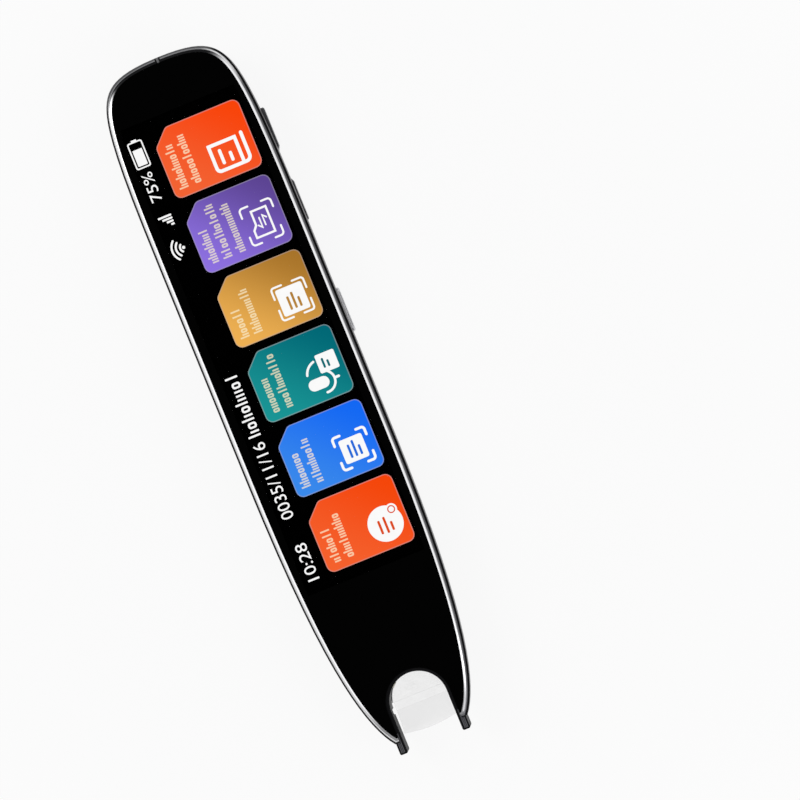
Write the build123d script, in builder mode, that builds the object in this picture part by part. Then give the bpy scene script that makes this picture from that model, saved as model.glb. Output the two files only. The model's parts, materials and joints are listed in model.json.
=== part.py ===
"""Scanning translator pen, as an assembly of separate pieces.

The finished pen lies on the flat land of its back with the screen up: +X is the side with the keys,
+Y runs from the feet to the crown and +Z out of the screen. The origin is on the ground, half way
along. Each piece is drawn with the pen upright, where z runs from the feet to the crown, the screen
faces -y and the back +y, and is laid down as it is saved. All values are in millimetres.
"""

import os
from math import cos, radians, sin, sqrt

from build123d import *

# ------------------------------------------------------------------ driving dimensions

# Body outline, seen on the screen
BODY_WIDTH = 33.0
BODY_TOP = 156.4  # crown above the tips of the feet
TOE_Z = 2.5  # lower end of the body above the tips of the feet
TOE_HALF_WIDTH = 8.15
SHOULDER_Z = 65.6  # the straight sides start here
NOSE_PULL = 30.2  # how long the nose stays nearly straight below the shoulder
NOSE_LEAN = (6.57, 8.24)  # slope of the nose where it ends at the toe
CROWN_START = 42.6  # below the crown, where the straight sides end
CROWN_PULL = 16.7
CORNER_LEAN = (0.16, 14.1)  # from the side and the crown, the pull that turns the side in
CORNER_POINT = (1.77, 8.0)  # from the side and the crown, where the side becomes the corner
CORNER_TURN = (3.36, 1.95)  # from the side and the crown, the outer pull of the corner
CROWN_FLAT = 9.98  # half width over which the crown is nearly flat
TOE_DRAW = 0.58  # share of an inset by which the toe gets narrower at each side

# Layers through the thickness
THICKNESS = 12.5
GLASS_THICKNESS = 0.85
RIM_STEP = 0.2  # the housing's rim lies this far behind the glass face
TRIM_SLOPE = 0.3  # width of the slope on the trim's outer edge
RIM_ROUND = (0.8, 1.9)  # rounding of the front rim: inwards and backwards
FRAME_DEPTH = 2.9  # glass face to the parting line
PARTING_GAP = 0.1
BELT = 5.25  # glass face to the widest line, where the back starts to round
BACK_ROUND_SHARE = 0.838  # of the step from the toe's half width to the sides, drawn in by the back
BACK_ROUND_ENDS = (6.0, 6.0)  # how far the back draws in at the crown and the toe
BACK_STEPS = 6  # lofted steps of the back's rounding outside
INSIDE_STEPS = 3  # and inside
RIM_STEPS = 4
COVER_WALL = 1.5
TRIM_WIDTH = 0.5
GLASS_GAP = 0.05
FRAME_WALL = 2.4
LIP_DEPTH = 1.1
LIP_THICKNESS = 0.8
FIT_GAP = 0.1
SMALL_SIDES = 16  # sides of the small rounds inside

# Scanning notch
NOTCH_CENTRE_Z = 9.4
NOTCH_RADIUS = 6.3
GLASS_NOTCH_RADIUS = 7.05
FORK_WALL = 1.7
FORK_TRAVEL = 1.0
FORK_FRONT_GAP = 0.15
ARCH_DEPTH = 3.9
FOOT_DEPTH = 7.0
FOOT_TOP_Z = 8.2
FOOT_ROUND = 0.4
FOOT_GROOVE = (0.2, 0.15)  # width and depth
FOOT_GROOVE_PITCH = 0.42
FOOT_GROOVE_COUNT = 3
RUNNING_GAP = 0.2
LEG_SOLID_Z = 20.0  # the cover's legs beside the notch are solid up to here
TAB_X = 4.5
TAB_SIZE = (2.6, 3.0)
TAB_TOP_Z = 17.9
TAB_DEPTH = 1.7

STEM_WIDTH = 2.6
STEM_TOP_Z = 22.0
SPRING_TOP_Z = 29.0
SPRING_RADIUS = 0.85
SPRING_WIRE = 0.32
SPRING_TURNS = 4
WIRE_SIDES = 4

# Plastic split in the housing at the crown
SPLIT_WIDTH = 0.9
SPLIT_REACH = 1.6  # how far below the crown it reaches across the trim

# Display
SCREEN_SIDE = 3.0  # side of the body to the edge of the panel
SCREEN_BOTTOM_Z = 38.5
SCREEN_BELOW_CROWN = 11.4
SCREEN_THICKNESS = 1.5
CHASSIS_THICKNESS = 0.8
CHASSIS_BOTTOM_Z = 31.0
RAIL = (0.8, 1.4)  # width and height of the rails beside the battery
FLEX_SLOT = 1.2

# Side keys
KEY_LENGTH = 10.0
KEY_WIDTH = 2.7
KEY_CENTRE_FROM_GLASS = 6.1
KEY_TRAVEL = 0.4
KEY_PROUD = {"volume_up": 0.25, "volume_down": 0.25, "function": 0.5}
KEY_BELOW_CROWN = {"volume_up": 23.0, "volume_down": 38.8, "function": 64.4}
KEY_FLANGE = 0.55  # how far the flange inside the wall stands out round the key, and how thick
KEY_EDGE = 0.25
KEY_BEVEL = (1.2, 0.55)  # slope at the facing ends of the volume keys: along and inwards
DIVIDER_DEPTH = 0.8
DIVIDER_SUNK = 0.35
DOME_RADIUS = 1.3
DOME_HEIGHT = 0.5
DOME_TAPER = 30
KEY_FLEX_THICKNESS = 0.3
KEY_FLEX_WIDTH = 3.2
BRACKET_THICKNESS = 0.7
MIC_BELOW_CROWN = 46.1
MIC_HOLE = 0.7
MIC_SIZE = (2.6, 1.9)
MIC_HOLE_DEPTH = 0.6
POCKET = 2.0  # how deep the flat seats of keys and microphone are cut into the curved wall

# Back
PAD_SIZE = (13.3, 26.4)
PAD_BELOW_CROWN = 23.6
PAD_RADIUS = 4.3
PAD_DEPTH = 0.6
PLATE_SIZE = (7.2, 20.2)
PLATE_RADIUS = 1.8
SOUND_HOLE = 0.72
SOUND_HOLE_SIDES = 10
SOUND_PITCH = 1.54
SOUND_COLUMNS = 4
SOUND_COLUMN_GAP = 1.33
SOUND_ABOVE_PAD = 3.3  # middle of the holes above the middle of the pad
SOUND_OPENING = (5.4, 10.4)
INLAY_BREAK = ((5.15, -6.6), (-5.57, 4.15))  # where each arm of the pad changes, from its middle
INLAY_SLOPE = -0.75
SEAM = 0.08
THUMB_WIDTH = 11.6
THUMB_TOP_Z = 48.8
THUMB_FADE_Z = 27.0
THUMB_DEPTH = 1.15
THUMB_RIBS = ((41.7, 6.4), (38.4, 6.2), (35.3, 5.5), (32.2, 4.5), (29.6, 3.5))
THUMB_RIB_SHARE = 0.5  # rib height as a share of the recess's depth there
THUMB_RIB_SAG = (1.35, 0.45)  # drop of a rib's lower and upper arc
THUMB_BOSS = (7.0, 33.6, 51.0, 1.3)  # half width, bottom, top and thickness under the recess
HEAD_COVER_THICKNESS = 1.2
HEAD_COVER_TOP_Z = 23.5
HEAD_COVER_CHAMFER = (3.6, 2.4)
HEAD_COVER_END_Z = 10.4
VISOR_WALL = 1.0
VISOR_END_Z = 2.9
VISOR_END_RADIUS = 27.0
VISOR_FRONT = 1.4
VISOR_FLANGE = 1.0
VISOR_FLANGE_RADIUS = 7.4

# Charging port (USB-C receptacle)
PORT_WIDTH = 8.94
PORT_HEIGHT = 3.2
PORT_WALL = 0.3
PORT_DEPTH = 6.6
PORT_TONGUE = (6.7, 0.7, 5.2)
PORT_TONGUE_EDGE = 0.3
PORT_SUNK = 2.3  # the port's rim below the top of the crown

# Board, battery, speaker and scan head
BOARD_THICKNESS = 0.8
BOARD_FROM_GLASS = 6.65
BOARD_BELOW_CROWN = 59.4  # lower end of the board
BOARD_MARGIN = 4.6
BATTERY_SIZE = (22.0, 5.0, 42.0)
BATTERY_EDGE = 1.2
BATTERY_BELOW_BOARD = 2.0
TAPE_THICKNESS = 0.2
SPEAKER_SIZE = (11.0, 19.0)
SPEAKER_ABOVE_PAD = 1.0
SPEAKER_DEPTH = 2.6
MAGNET_DEPTH = 0.9
SCREW_RADIUS = 0.7
SCREW_HEAD = (1.3, 0.6)
POST_RADIUS = 2.0
POST_X = 8.4
POST_UP = (4.5, 46.0)  # above the lower end of the board
HEAD_FRONT = 5.15  # glass face to the scan head's front
HEAD_HALF_WIDTH = 7.9
HEAD_TOP_Z = 31.0
HEAD_EAR = (7.5, 37.0, 1.6)  # half width, top and thickness of the ear on the chassis
HEAD_TIE = 2.4  # height of the bridge between the head and its ear
HEAD_SCREW_X = 5.2
BARREL_RADIUS = 1.9
BARREL_BOTTOM_Z = 17.0
LENS_RADIUS = 1.5
LENS_THICKNESS = 0.6
LED_RADIUS = 0.8
LED_ANGLE = 42
LED_HEIGHT = 0.25
LED_TAPER = 20
LENS_SUNK = 0.3
SENSOR_SIZE = (1.8, 1.0)
SWITCH_BUTTON = (1.2, 0.6)
SWITCH_BODY = (3.0, 2.0, 1.8)

# ------------------------------------------------------------------ derived places

FRONT = -THICKNESS / 2
BACK = THICKNESS / 2
GLASS_BACK = FRONT + GLASS_THICKNESS
RIM_FRONT = FRONT + RIM_STEP
FRAME_BACK = FRONT + FRAME_DEPTH
COVER_FRONT = FRAME_BACK + PARTING_GAP
BELT_Y = FRONT + BELT
SCREEN_BACK = GLASS_BACK + SCREEN_THICKNESS
CHASSIS_FRONT = SCREEN_BACK + TAPE_THICKNESS
CHASSIS_BACK = CHASSIS_FRONT + CHASSIS_THICKNESS
INNER_BACK = BACK - COVER_WALL
TRIM_OUTER = RIM_ROUND[0]
TRIM_INNER = TRIM_OUTER + TRIM_WIDTH
LIP_OUTER = COVER_WALL + FIT_GAP
LIP_INNER = LIP_OUTER + LIP_THICKNESS
CHASSIS_INSET = FRAME_WALL + FIT_GAP
BOARD_FRONT = FRONT + BOARD_FROM_GLASS - BOARD_THICKNESS
BOARD_BACK = FRONT + BOARD_FROM_GLASS
BOARD_BOTTOM_Z = BODY_TOP - BOARD_BELOW_CROWN
POST_PLACES = [(side * POST_X, BOARD_BOTTOM_Z + up) for up in POST_UP for side in (-1, 1)]
BATTERY_TOP_Z = BOARD_BOTTOM_Z - BATTERY_BELOW_BOARD
BATTERY_BOTTOM_Z = BATTERY_TOP_Z - BATTERY_SIZE[2]
FORK_OUTER = NOTCH_RADIUS + FORK_WALL
FORK_SLOT = FORK_OUTER + RUNNING_GAP
FORK_FRONT = GLASS_BACK + FORK_FRONT_GAP
FORK_ARCH_BACK = FORK_FRONT + ARCH_DEPTH
FOOT_BACK = FORK_FRONT + FOOT_DEPTH
KEY_Y = FRONT + KEY_CENTRE_FROM_GLASS
KEY_Z = {name: BODY_TOP - below for name, below in KEY_BELOW_CROWN.items()}
MIC_Z = BODY_TOP - MIC_BELOW_CROWN
PAD_Z = BODY_TOP - PAD_BELOW_CROWN
SOUND_Z = PAD_Z + SOUND_ABOVE_PAD
SPEAKER_Z = PAD_Z + SPEAKER_ABOVE_PAD
SIDE = BODY_WIDTH / 2
BACK_ROUND = (BACK_ROUND_SHARE * (SIDE - TOE_HALF_WIDTH), *BACK_ROUND_ENDS)
WALL_INSIDE = SIDE - COVER_WALL
PORT_TOP_Z = BODY_TOP - PORT_SUNK
PORT_Y = BOARD_BACK + PORT_HEIGHT / 2
HEAD_Y = FRONT + HEAD_FRONT
HEAD_COVER_HALF = FORK_SLOT - FIT_GAP
HEAD_COVER_INSIDE = BACK - HEAD_COVER_THICKNESS
HEAD_BACK = HEAD_COVER_INSIDE - VISOR_FLANGE
HEAD_LEG_Z = FOOT_TOP_Z + FORK_TRAVEL + RUNNING_GAP
BARREL_Y = (HEAD_Y + HEAD_BACK) / 2
FLANGE_OUTSIDE = WALL_INSIDE - FIT_GAP
DOME_TOP = FLANGE_OUTSIDE - KEY_FLANGE - KEY_TRAVEL - FIT_GAP
FLEX_OUTSIDE = DOME_TOP - DOME_HEIGHT
BRACKET_OUTSIDE = FLEX_OUTSIDE - KEY_FLEX_THICKNESS


def facing(y):
    """Plane across the thickness at y: its own x is X and its own y is Z."""
    return Plane.XZ.offset(-y)


def pen_outline(side=0.0, crown=0.0, toe=0.0, foot=0.0):
    """Outline of the pen, drawn in by side, by crown at the top and by toe and foot at the toe."""
    half = BODY_WIDTH / 2 - side
    top = BODY_TOP - crown
    share = half / (BODY_WIDTH / 2)
    toe_half = TOE_HALF_WIDTH - foot
    toe_z = TOE_Z + toe
    nose_share = (half - toe_half) / (BODY_WIDTH / 2 - TOE_HALF_WIDTH)
    crown_start = BODY_TOP - CROWN_START
    corner = (half - CORNER_POINT[0] * share, top - CORNER_POINT[1] * share)
    with BuildSketch() as sketch:
        with BuildLine():
            Bezier(
                (toe_half, toe_z),
                (toe_half + NOSE_LEAN[0] * nose_share, toe_z + NOSE_LEAN[1] * nose_share),
                (half, SHOULDER_Z - NOSE_PULL),
                (half, SHOULDER_Z),
            )
            Line((half, SHOULDER_Z), (half, crown_start))
            Bezier(
                (half, crown_start),
                (half, crown_start + CROWN_PULL),
                (half - CORNER_LEAN[0] * share, top - CORNER_LEAN[1] * share),
                corner,
            )
            Bezier(
                corner,
                (half - CORNER_TURN[0] * share, top - CORNER_TURN[1] * share),
                (CROWN_FLAT * share, top),
                (0, top),
            )
            mirror(about=Plane.YZ)
            Line((-toe_half, toe_z), (toe_half, toe_z))
        make_face()
    return sketch.sketch


def inset_outline(inset):
    """Outline of the pen drawn in by the same amount all round."""
    return pen_outline(inset, inset, inset, TOE_DRAW * inset)


def notch_outline(radius, rise=0.0):
    """The scanning notch: straight sides and a round end, open downwards."""
    centre = NOTCH_CENTRE_Z + rise
    with BuildSketch() as sketch:
        with Locations((0, centre)):
            Circle(radius)
        with Locations((0, centre / 2 - radius)):
            Rectangle(2 * radius, centre + 2 * radius)
    return sketch.sketch


def back_form(wall=0.0, steps=BACK_STEPS):
    """Closed form of the back half: straight at the parting line, then rounded to a flat land."""
    reach = BACK - wall - BELT_Y
    with BuildPart() as form:
        with BuildSketch(facing(BELT_Y)):
            add(inset_outline(wall))
        extrude(amount=BELT_Y - COVER_FRONT)
        for step in range(steps + 1):
            angle = radians(90 * step / steps)
            turn = 1 - cos(angle)
            side, crown, toe = (wall + reach_in * turn for reach_in in BACK_ROUND)
            with BuildSketch(facing(BELT_Y + reach * sin(angle))):
                add(pen_outline(side, crown, toe, TOE_DRAW * wall))
        loft(ruled=True)
    return form.part


def rim_form():
    """Closed form of the front housing, rounded at its rim."""
    inwards, backwards = RIM_ROUND
    round_start = RIM_FRONT + backwards
    with BuildPart() as form:
        with BuildSketch(facing(FRAME_BACK)):
            add(pen_outline())
        extrude(amount=FRAME_BACK - round_start)
        for step in range(RIM_STEPS + 1):
            angle = radians(90 * step / RIM_STEPS)
            with BuildSketch(facing(round_start - backwards * sin(angle))):
                add(inset_outline(inwards * (1 - cos(angle))))
        loft(ruled=True)
    return form.part


os.makedirs("parts", exist_ok=True)

# From the upright pen to the pen on its back
LAID_DOWN = Location((0, -BODY_TOP / 2, BACK), (-90, 0, 0))


def save(piece, name):
    """Lays a finished piece down with the pen and writes it."""
    laid = piece.part.moved(LAID_DOWN)
    laid.label = name
    export_step(laid, f"parts/{name}.step")


# ------------------------------------------------------------------ screen side

with BuildPart() as cover_glass:
    with BuildSketch(facing(GLASS_BACK)):
        add(inset_outline(TRIM_INNER + GLASS_GAP))
        add(notch_outline(GLASS_NOTCH_RADIUS), mode=Mode.SUBTRACT)
    extrude(amount=GLASS_THICKNESS)
save(cover_glass, "cover_glass")

# Bright trim round the glass: flat at the glass, sloping back to the housing's rim
with BuildPart() as bezel_ring:
    with BuildSketch(facing(GLASS_BACK)):
        add(inset_outline(TRIM_OUTER))
    extrude(amount=GLASS_BACK - RIM_FRONT)
    with BuildSketch(facing(RIM_FRONT)):
        add(inset_outline(TRIM_OUTER))
    with BuildSketch(facing(FRONT)):
        add(inset_outline(TRIM_OUTER + TRIM_SLOPE))
    loft()
    with BuildSketch(facing(GLASS_BACK)):
        add(inset_outline(TRIM_INNER))
        add(notch_outline(GLASS_NOTCH_RADIUS))
    extrude(amount=GLASS_THICKNESS, mode=Mode.SUBTRACT)
    with BuildSketch(facing(GLASS_BACK)):
        with Locations((0, BODY_TOP)):
            Rectangle(SPLIT_WIDTH, 2 * SPLIT_REACH)
    extrude(amount=GLASS_THICKNESS, mode=Mode.SUBTRACT)
save(bezel_ring, "bezel_ring")

with BuildPart() as front_frame:
    add(rim_form())
    # Seat for the trim and the glass
    with BuildSketch(facing(GLASS_BACK)):
        add(inset_outline(TRIM_OUTER))
        add(notch_outline(GLASS_NOTCH_RADIUS))
    extrude(amount=GLASS_THICKNESS, mode=Mode.SUBTRACT)
    # Window for the display
    with BuildSketch(facing(FRAME_BACK)):
        add(inset_outline(FRAME_WALL))
        with Locations((0, SCREEN_BOTTOM_Z - FIT_GAP)):
            Rectangle(BODY_WIDTH, 2 * BODY_TOP, align=(Align.CENTER, Align.MAX), mode=Mode.SUBTRACT)
    extrude(amount=FRAME_BACK - GLASS_BACK, mode=Mode.SUBTRACT)
    # Seat for the chassis
    with BuildSketch(facing(FRAME_BACK)):
        add(inset_outline(FRAME_WALL))
        with Locations((0, CHASSIS_BOTTOM_Z - FIT_GAP)):
            Rectangle(BODY_WIDTH, 2 * BODY_TOP, align=(Align.CENTER, Align.MAX), mode=Mode.SUBTRACT)
    extrude(amount=FRAME_BACK - CHASSIS_FRONT, mode=Mode.SUBTRACT)
    # Lip that enters the rear cover
    with BuildSketch(facing(FRAME_BACK + LIP_DEPTH)):
        add(inset_outline(LIP_OUTER))
        add(inset_outline(LIP_INNER), mode=Mode.SUBTRACT)
        with Locations((0, CHASSIS_BOTTOM_Z)):
            Rectangle(BODY_WIDTH, 2 * BODY_TOP, align=(Align.CENTER, Align.MAX), mode=Mode.SUBTRACT)
    extrude(amount=LIP_DEPTH)
    # Slot for the fork, its stem and its spring
    with BuildSketch(facing(FRAME_BACK)):
        add(notch_outline(FORK_SLOT, FORK_TRAVEL))
        with Locations((0, NOTCH_CENTRE_Z)):
            Rectangle(STEM_WIDTH + 2 * RUNNING_GAP, SPRING_TOP_Z - NOTCH_CENTRE_Z,
                      align=(Align.CENTER, Align.MIN))
    extrude(amount=FRAME_BACK - GLASS_BACK, mode=Mode.SUBTRACT)
    # Groove for the antenna split
    with BuildSketch(facing(FRAME_BACK)):
        with Locations((0, BODY_TOP)):
            Rectangle(SPLIT_WIDTH, 2 * TRIM_OUTER)
    extrude(amount=FRAME_BACK - FRONT, mode=Mode.SUBTRACT)
save(front_frame, "front_frame")

with BuildPart() as antenna_split:
    add(rim_form())
    with BuildSketch(facing(FRAME_BACK)):
        with Locations((0, BODY_TOP)):
            Rectangle(SPLIT_WIDTH, 2 * TRIM_OUTER)
    extrude(amount=FRAME_BACK - FRONT, mode=Mode.INTERSECT)
    with BuildSketch(facing(GLASS_BACK)):
        with Locations((0, BODY_TOP - TRIM_OUTER)):
            Rectangle(SPLIT_WIDTH, TRIM_INNER - TRIM_OUTER, align=(Align.CENTER, Align.MAX))
    extrude(amount=GLASS_BACK - RIM_FRONT)
save(antenna_split, "antenna_split")

with BuildPart() as display_panel:
    with BuildSketch(facing(SCREEN_BACK)):
        with Locations((0, SCREEN_BOTTOM_Z)):
            Rectangle(
                2 * (SIDE - SCREEN_SIDE),
                BODY_TOP - SCREEN_BELOW_CROWN - SCREEN_BOTTOM_Z,
                align=(Align.CENTER, Align.MIN),
            )
        add(inset_outline(CHASSIS_INSET), mode=Mode.INTERSECT)
    extrude(amount=SCREEN_THICKNESS)
save(display_panel, "display_panel")

# ------------------------------------------------------------------ chassis


def key_span(name, extra=0.0):
    """Stadium of a side key on the plane of the side wall."""
    with BuildSketch() as sketch:
        with Locations((KEY_Y, KEY_Z[name])):
            SlotOverall(KEY_LENGTH + 2 * extra, KEY_WIDTH + 2 * extra, rotation=90)
    return sketch.sketch


FLEX_BOTTOM_Z = KEY_Z["function"] - KEY_LENGTH / 2
FLEX_TOP_Z = KEY_Z["volume_up"] + KEY_LENGTH / 2
TAPE_MARGIN = 2.0
DISPLAY_FLEX = (-5.2, 6.0, 0.15)  # middle, width and thickness
FLEX_BELOW_CROWN = (18.4, 9.8, 6.9)  # start on the panel, crossing and end on the board
DISPLAY_FLEX_Z = [BODY_TOP - below for below in FLEX_BELOW_CROWN]

with BuildPart() as mid_frame:
    with BuildSketch(facing(CHASSIS_BACK)):
        add(inset_outline(CHASSIS_INSET))
        with Locations((0, CHASSIS_BOTTOM_Z)):
            Rectangle(BODY_WIDTH, BODY_TOP, align=(Align.CENTER, Align.MAX), mode=Mode.SUBTRACT)
        with Locations((DISPLAY_FLEX[0], DISPLAY_FLEX_Z[1])):
            Rectangle(DISPLAY_FLEX[1] + FLEX_SLOT, FLEX_SLOT, mode=Mode.SUBTRACT)
    extrude(amount=CHASSIS_THICKNESS)
    # Posts under the board
    with BuildSketch(facing(BOARD_FRONT)):
        with Locations(*POST_PLACES):
            RegularPolygon(POST_RADIUS, SMALL_SIDES)
    extrude(amount=BOARD_FRONT - CHASSIS_BACK)
    # Rails beside the battery
    with BuildSketch(facing(CHASSIS_BACK + RAIL[1])):
        for side in (-1, 1):
            with Locations((side * (BATTERY_SIZE[0] / 2 + FIT_GAP + RAIL[0] / 2), BATTERY_BOTTOM_Z)):
                Rectangle(RAIL[0], BATTERY_SIZE[2], align=(Align.CENTER, Align.MIN))
    extrude(amount=RAIL[1])
    # Upright bracket behind the side keys
    with BuildSketch(Plane.YZ.offset(BRACKET_OUTSIDE - BRACKET_THICKNESS)):
        with Locations((CHASSIS_BACK, FLEX_BOTTOM_Z)):
            Rectangle(
                KEY_Y + KEY_FLEX_WIDTH / 2 - CHASSIS_BACK,
                FLEX_TOP_Z - FLEX_BOTTOM_Z,
                align=(Align.MIN, Align.MIN),
            )
    extrude(amount=BRACKET_THICKNESS)
    # Threaded holes for the board and scan head screws
    with BuildSketch(facing(BOARD_FRONT)):
        with Locations(*POST_PLACES):
            RegularPolygon(SCREW_RADIUS, SMALL_SIDES)
    extrude(amount=BOARD_FRONT - CHASSIS_BACK, mode=Mode.SUBTRACT)
    with BuildSketch(facing(CHASSIS_BACK)):
        for side in (-1, 1):
            with Locations((side * HEAD_SCREW_X, (CHASSIS_BOTTOM_Z + HEAD_EAR[1]) / 2)):
                RegularPolygon(SCREW_RADIUS, SMALL_SIDES)
    extrude(amount=CHASSIS_THICKNESS, mode=Mode.SUBTRACT)
save(mid_frame, "mid_frame")

# ------------------------------------------------------------------ rear cover


def head_cover_outline(gap=0.0, bottom=0.0):
    """Upright panel with cut corners over the scan head."""
    half = HEAD_COVER_HALF + gap
    top = HEAD_COVER_TOP_Z + gap
    across, down = HEAD_COVER_CHAMFER
    with BuildSketch() as sketch:
        with BuildLine():
            Polyline(
                (-half, bottom),
                (half, bottom),
                (half, top - down),
                (half - across, top),
                (across - half, top),
                (-half, top - down),
                close=True,
            )
        make_face()
    return sketch.sketch


def thumb_floor(z):
    """Depth of the thumb recess at height z: deepest at its top, gone at its foot."""
    return THUMB_DEPTH * (z - THUMB_FADE_Z) / (THUMB_TOP_Z - THUMB_FADE_Z)


def crescent(z, width):
    """A rib of the thumb recess: a smile between two arcs."""
    lower, upper = THUMB_RIB_SAG
    share = width / THUMB_RIBS[0][1]
    ends = (-width / 2, z), (width / 2, z)
    with BuildSketch() as sketch:
        with BuildLine():
            ThreePointArc(ends[0], (0, z - lower * share), ends[1])
            ThreePointArc(ends[1], (0, z - upper * share), ends[0])
        make_face()
    return sketch.sketch


with BuildPart() as cavity:
    add(back_form(COVER_WALL, INSIDE_STEPS))
    with BuildSketch(facing(BACK)):
        Rectangle(BODY_WIDTH, 2 * LEG_SOLID_Z)
    extrude(amount=THICKNESS, mode=Mode.SUBTRACT)
    # The wall stays thick under the thumb recess
    boss_half, boss_bottom, boss_top, boss_wall = THUMB_BOSS
    with BuildSketch(facing(BACK)):
        with Locations((0, boss_bottom)):
            Rectangle(2 * boss_half, boss_top - boss_bottom, align=(Align.CENTER, Align.MIN))
    extrude(amount=THUMB_DEPTH + boss_wall, mode=Mode.SUBTRACT)

with BuildPart() as thumb_cut:
    with BuildSketch(Plane.YZ.offset(-THUMB_WIDTH / 2)):
        with BuildLine():
            Polyline(
                (BACK, THUMB_FADE_Z),
                (BACK - THUMB_DEPTH, THUMB_TOP_Z),
                (BACK + 1, THUMB_TOP_Z),
                (BACK + 1, THUMB_FADE_Z),
                close=True,
            )
        make_face()
    extrude(amount=THUMB_WIDTH)
    with BuildSketch(facing(BACK + 1)):
        with Locations((0, THUMB_TOP_Z - THUMB_WIDTH / 2)):
            Circle(THUMB_WIDTH / 2)
            Rectangle(THUMB_WIDTH, THUMB_TOP_Z, align=(Align.CENTER, Align.MAX))
    extrude(amount=THUMB_DEPTH + 1, mode=Mode.INTERSECT)
    for rib_z, rib_width in THUMB_RIBS:
        depth = thumb_floor(rib_z)
        with BuildSketch(facing(BACK - depth * (1 - THUMB_RIB_SHARE))):
            add(crescent(rib_z, rib_width))
        extrude(amount=THUMB_DEPTH, mode=Mode.SUBTRACT)

with BuildPart() as rear_cover:
    add(back_form())
    add(cavity.part, mode=Mode.SUBTRACT)
    # Scanning notch and the opening under the head cover
    with BuildSketch(facing(BACK)):
        add(head_cover_outline(FIT_GAP))
    extrude(amount=THICKNESS, mode=Mode.SUBTRACT)
    add(thumb_cut.part, mode=Mode.SUBTRACT)
    # Seat for the speaker pad, and the way out for the sound
    with BuildSketch(facing(BACK)):
        with Locations((0, PAD_Z)):
            RectangleRounded(PAD_SIZE[0] + 2 * SEAM, PAD_SIZE[1] + 2 * SEAM, PAD_RADIUS + SEAM)
    extrude(amount=PAD_DEPTH, mode=Mode.SUBTRACT)
    with BuildSketch(facing(BACK)):
        with Locations((0, SOUND_Z)):
            Rectangle(*SOUND_OPENING)
    extrude(amount=COVER_WALL + 1, mode=Mode.SUBTRACT)
    # Slots for the side keys, the divider between the volume keys, and the microphone hole
    for name in KEY_Z:
        with BuildSketch(Plane.YZ.offset(WALL_INSIDE - POCKET)):
            add(key_span(name, RUNNING_GAP))
        extrude(amount=COVER_WALL + 2 * POCKET, mode=Mode.SUBTRACT)
        with BuildSketch(Plane.YZ.offset(WALL_INSIDE - POCKET)):
            add(key_span(name, KEY_FLANGE + RUNNING_GAP))
        extrude(amount=POCKET - FIT_GAP / 2, mode=Mode.SUBTRACT)
    with BuildSketch(Plane.YZ.offset(SIDE - DIVIDER_DEPTH)):
        with Locations((KEY_Y, (KEY_Z["volume_up"] + KEY_Z["volume_down"]) / 2)):
            Rectangle(KEY_WIDTH, KEY_Z["volume_up"] - KEY_Z["volume_down"] - KEY_LENGTH)
    extrude(amount=COVER_WALL, mode=Mode.SUBTRACT)
    with BuildSketch(Plane.YZ.offset(WALL_INSIDE - POCKET)):
        with Locations((KEY_Y, MIC_Z)):
            Circle(MIC_HOLE / 2)
    extrude(amount=COVER_WALL + 2 * POCKET, mode=Mode.SUBTRACT)
    with BuildSketch(Plane.YZ.offset(WALL_INSIDE - POCKET)):
        with Locations((KEY_Y, MIC_Z)):
            Rectangle(MIC_SIZE[0] + 2 * FIT_GAP, MIC_SIZE[1] + 2 * FIT_GAP)
    extrude(amount=POCKET - FIT_GAP / 2, mode=Mode.SUBTRACT)
    # Charging port
    with BuildSketch(Plane.XY.offset(PORT_TOP_Z - PORT_DEPTH)):
        with Locations((0, PORT_Y)):
            SlotOverall(PORT_WIDTH + 2 * FIT_GAP, PORT_HEIGHT + 2 * FIT_GAP)
    extrude(amount=PORT_DEPTH + BODY_TOP - PORT_TOP_Z, mode=Mode.SUBTRACT)
save(rear_cover, "rear_cover")

# ------------------------------------------------------------------ speaker


def pad_outline(size, radius):
    """Rounded rectangle centred on the speaker pad."""
    with BuildSketch() as sketch:
        with Locations((0, PAD_Z)):
            RectangleRounded(*size, radius)
    return sketch.sketch


def inlay_region():
    """Everything below the slanting line that crosses both arms of the speaker pad."""
    (right_x, right_z), (left_x, left_z) = ((x, PAD_Z + z) for x, z in INLAY_BREAK)
    inner = PLATE_SIZE[0] / 2
    outer = PAD_SIZE[0]
    with BuildSketch() as sketch:
        with BuildLine():
            Polyline(
                (outer, right_z + INLAY_SLOPE * (outer - right_x)),
                (inner, right_z + INLAY_SLOPE * (inner - right_x)),
                (-inner, left_z + INLAY_SLOPE * (-inner - left_x)),
                (-outer, left_z + INLAY_SLOPE * (-outer - left_x)),
                (-outer, PAD_Z - PAD_SIZE[1]),
                (outer, PAD_Z - PAD_SIZE[1]),
                close=True,
            )
        make_face()
    return sketch.sketch


PLATE_OPENING = (PLATE_SIZE[0] + 2 * SEAM, PLATE_SIZE[1] + 2 * SEAM)

with BuildPart() as speaker_surround:
    with BuildSketch(facing(BACK)):
        add(pad_outline(PAD_SIZE, PAD_RADIUS))
        add(pad_outline(PLATE_OPENING, PLATE_RADIUS + SEAM), mode=Mode.SUBTRACT)
        add(inlay_region(), mode=Mode.SUBTRACT)
    extrude(amount=PAD_DEPTH)
save(speaker_surround, "speaker_surround")

with BuildPart() as surround_inlay:
    with BuildSketch(facing(BACK)):
        add(pad_outline(PAD_SIZE, PAD_RADIUS))
        add(pad_outline(PLATE_OPENING, PLATE_RADIUS + SEAM), mode=Mode.SUBTRACT)
        add(inlay_region(), mode=Mode.INTERSECT)
    extrude(amount=PAD_DEPTH)
save(surround_inlay, "surround_inlay")

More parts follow.
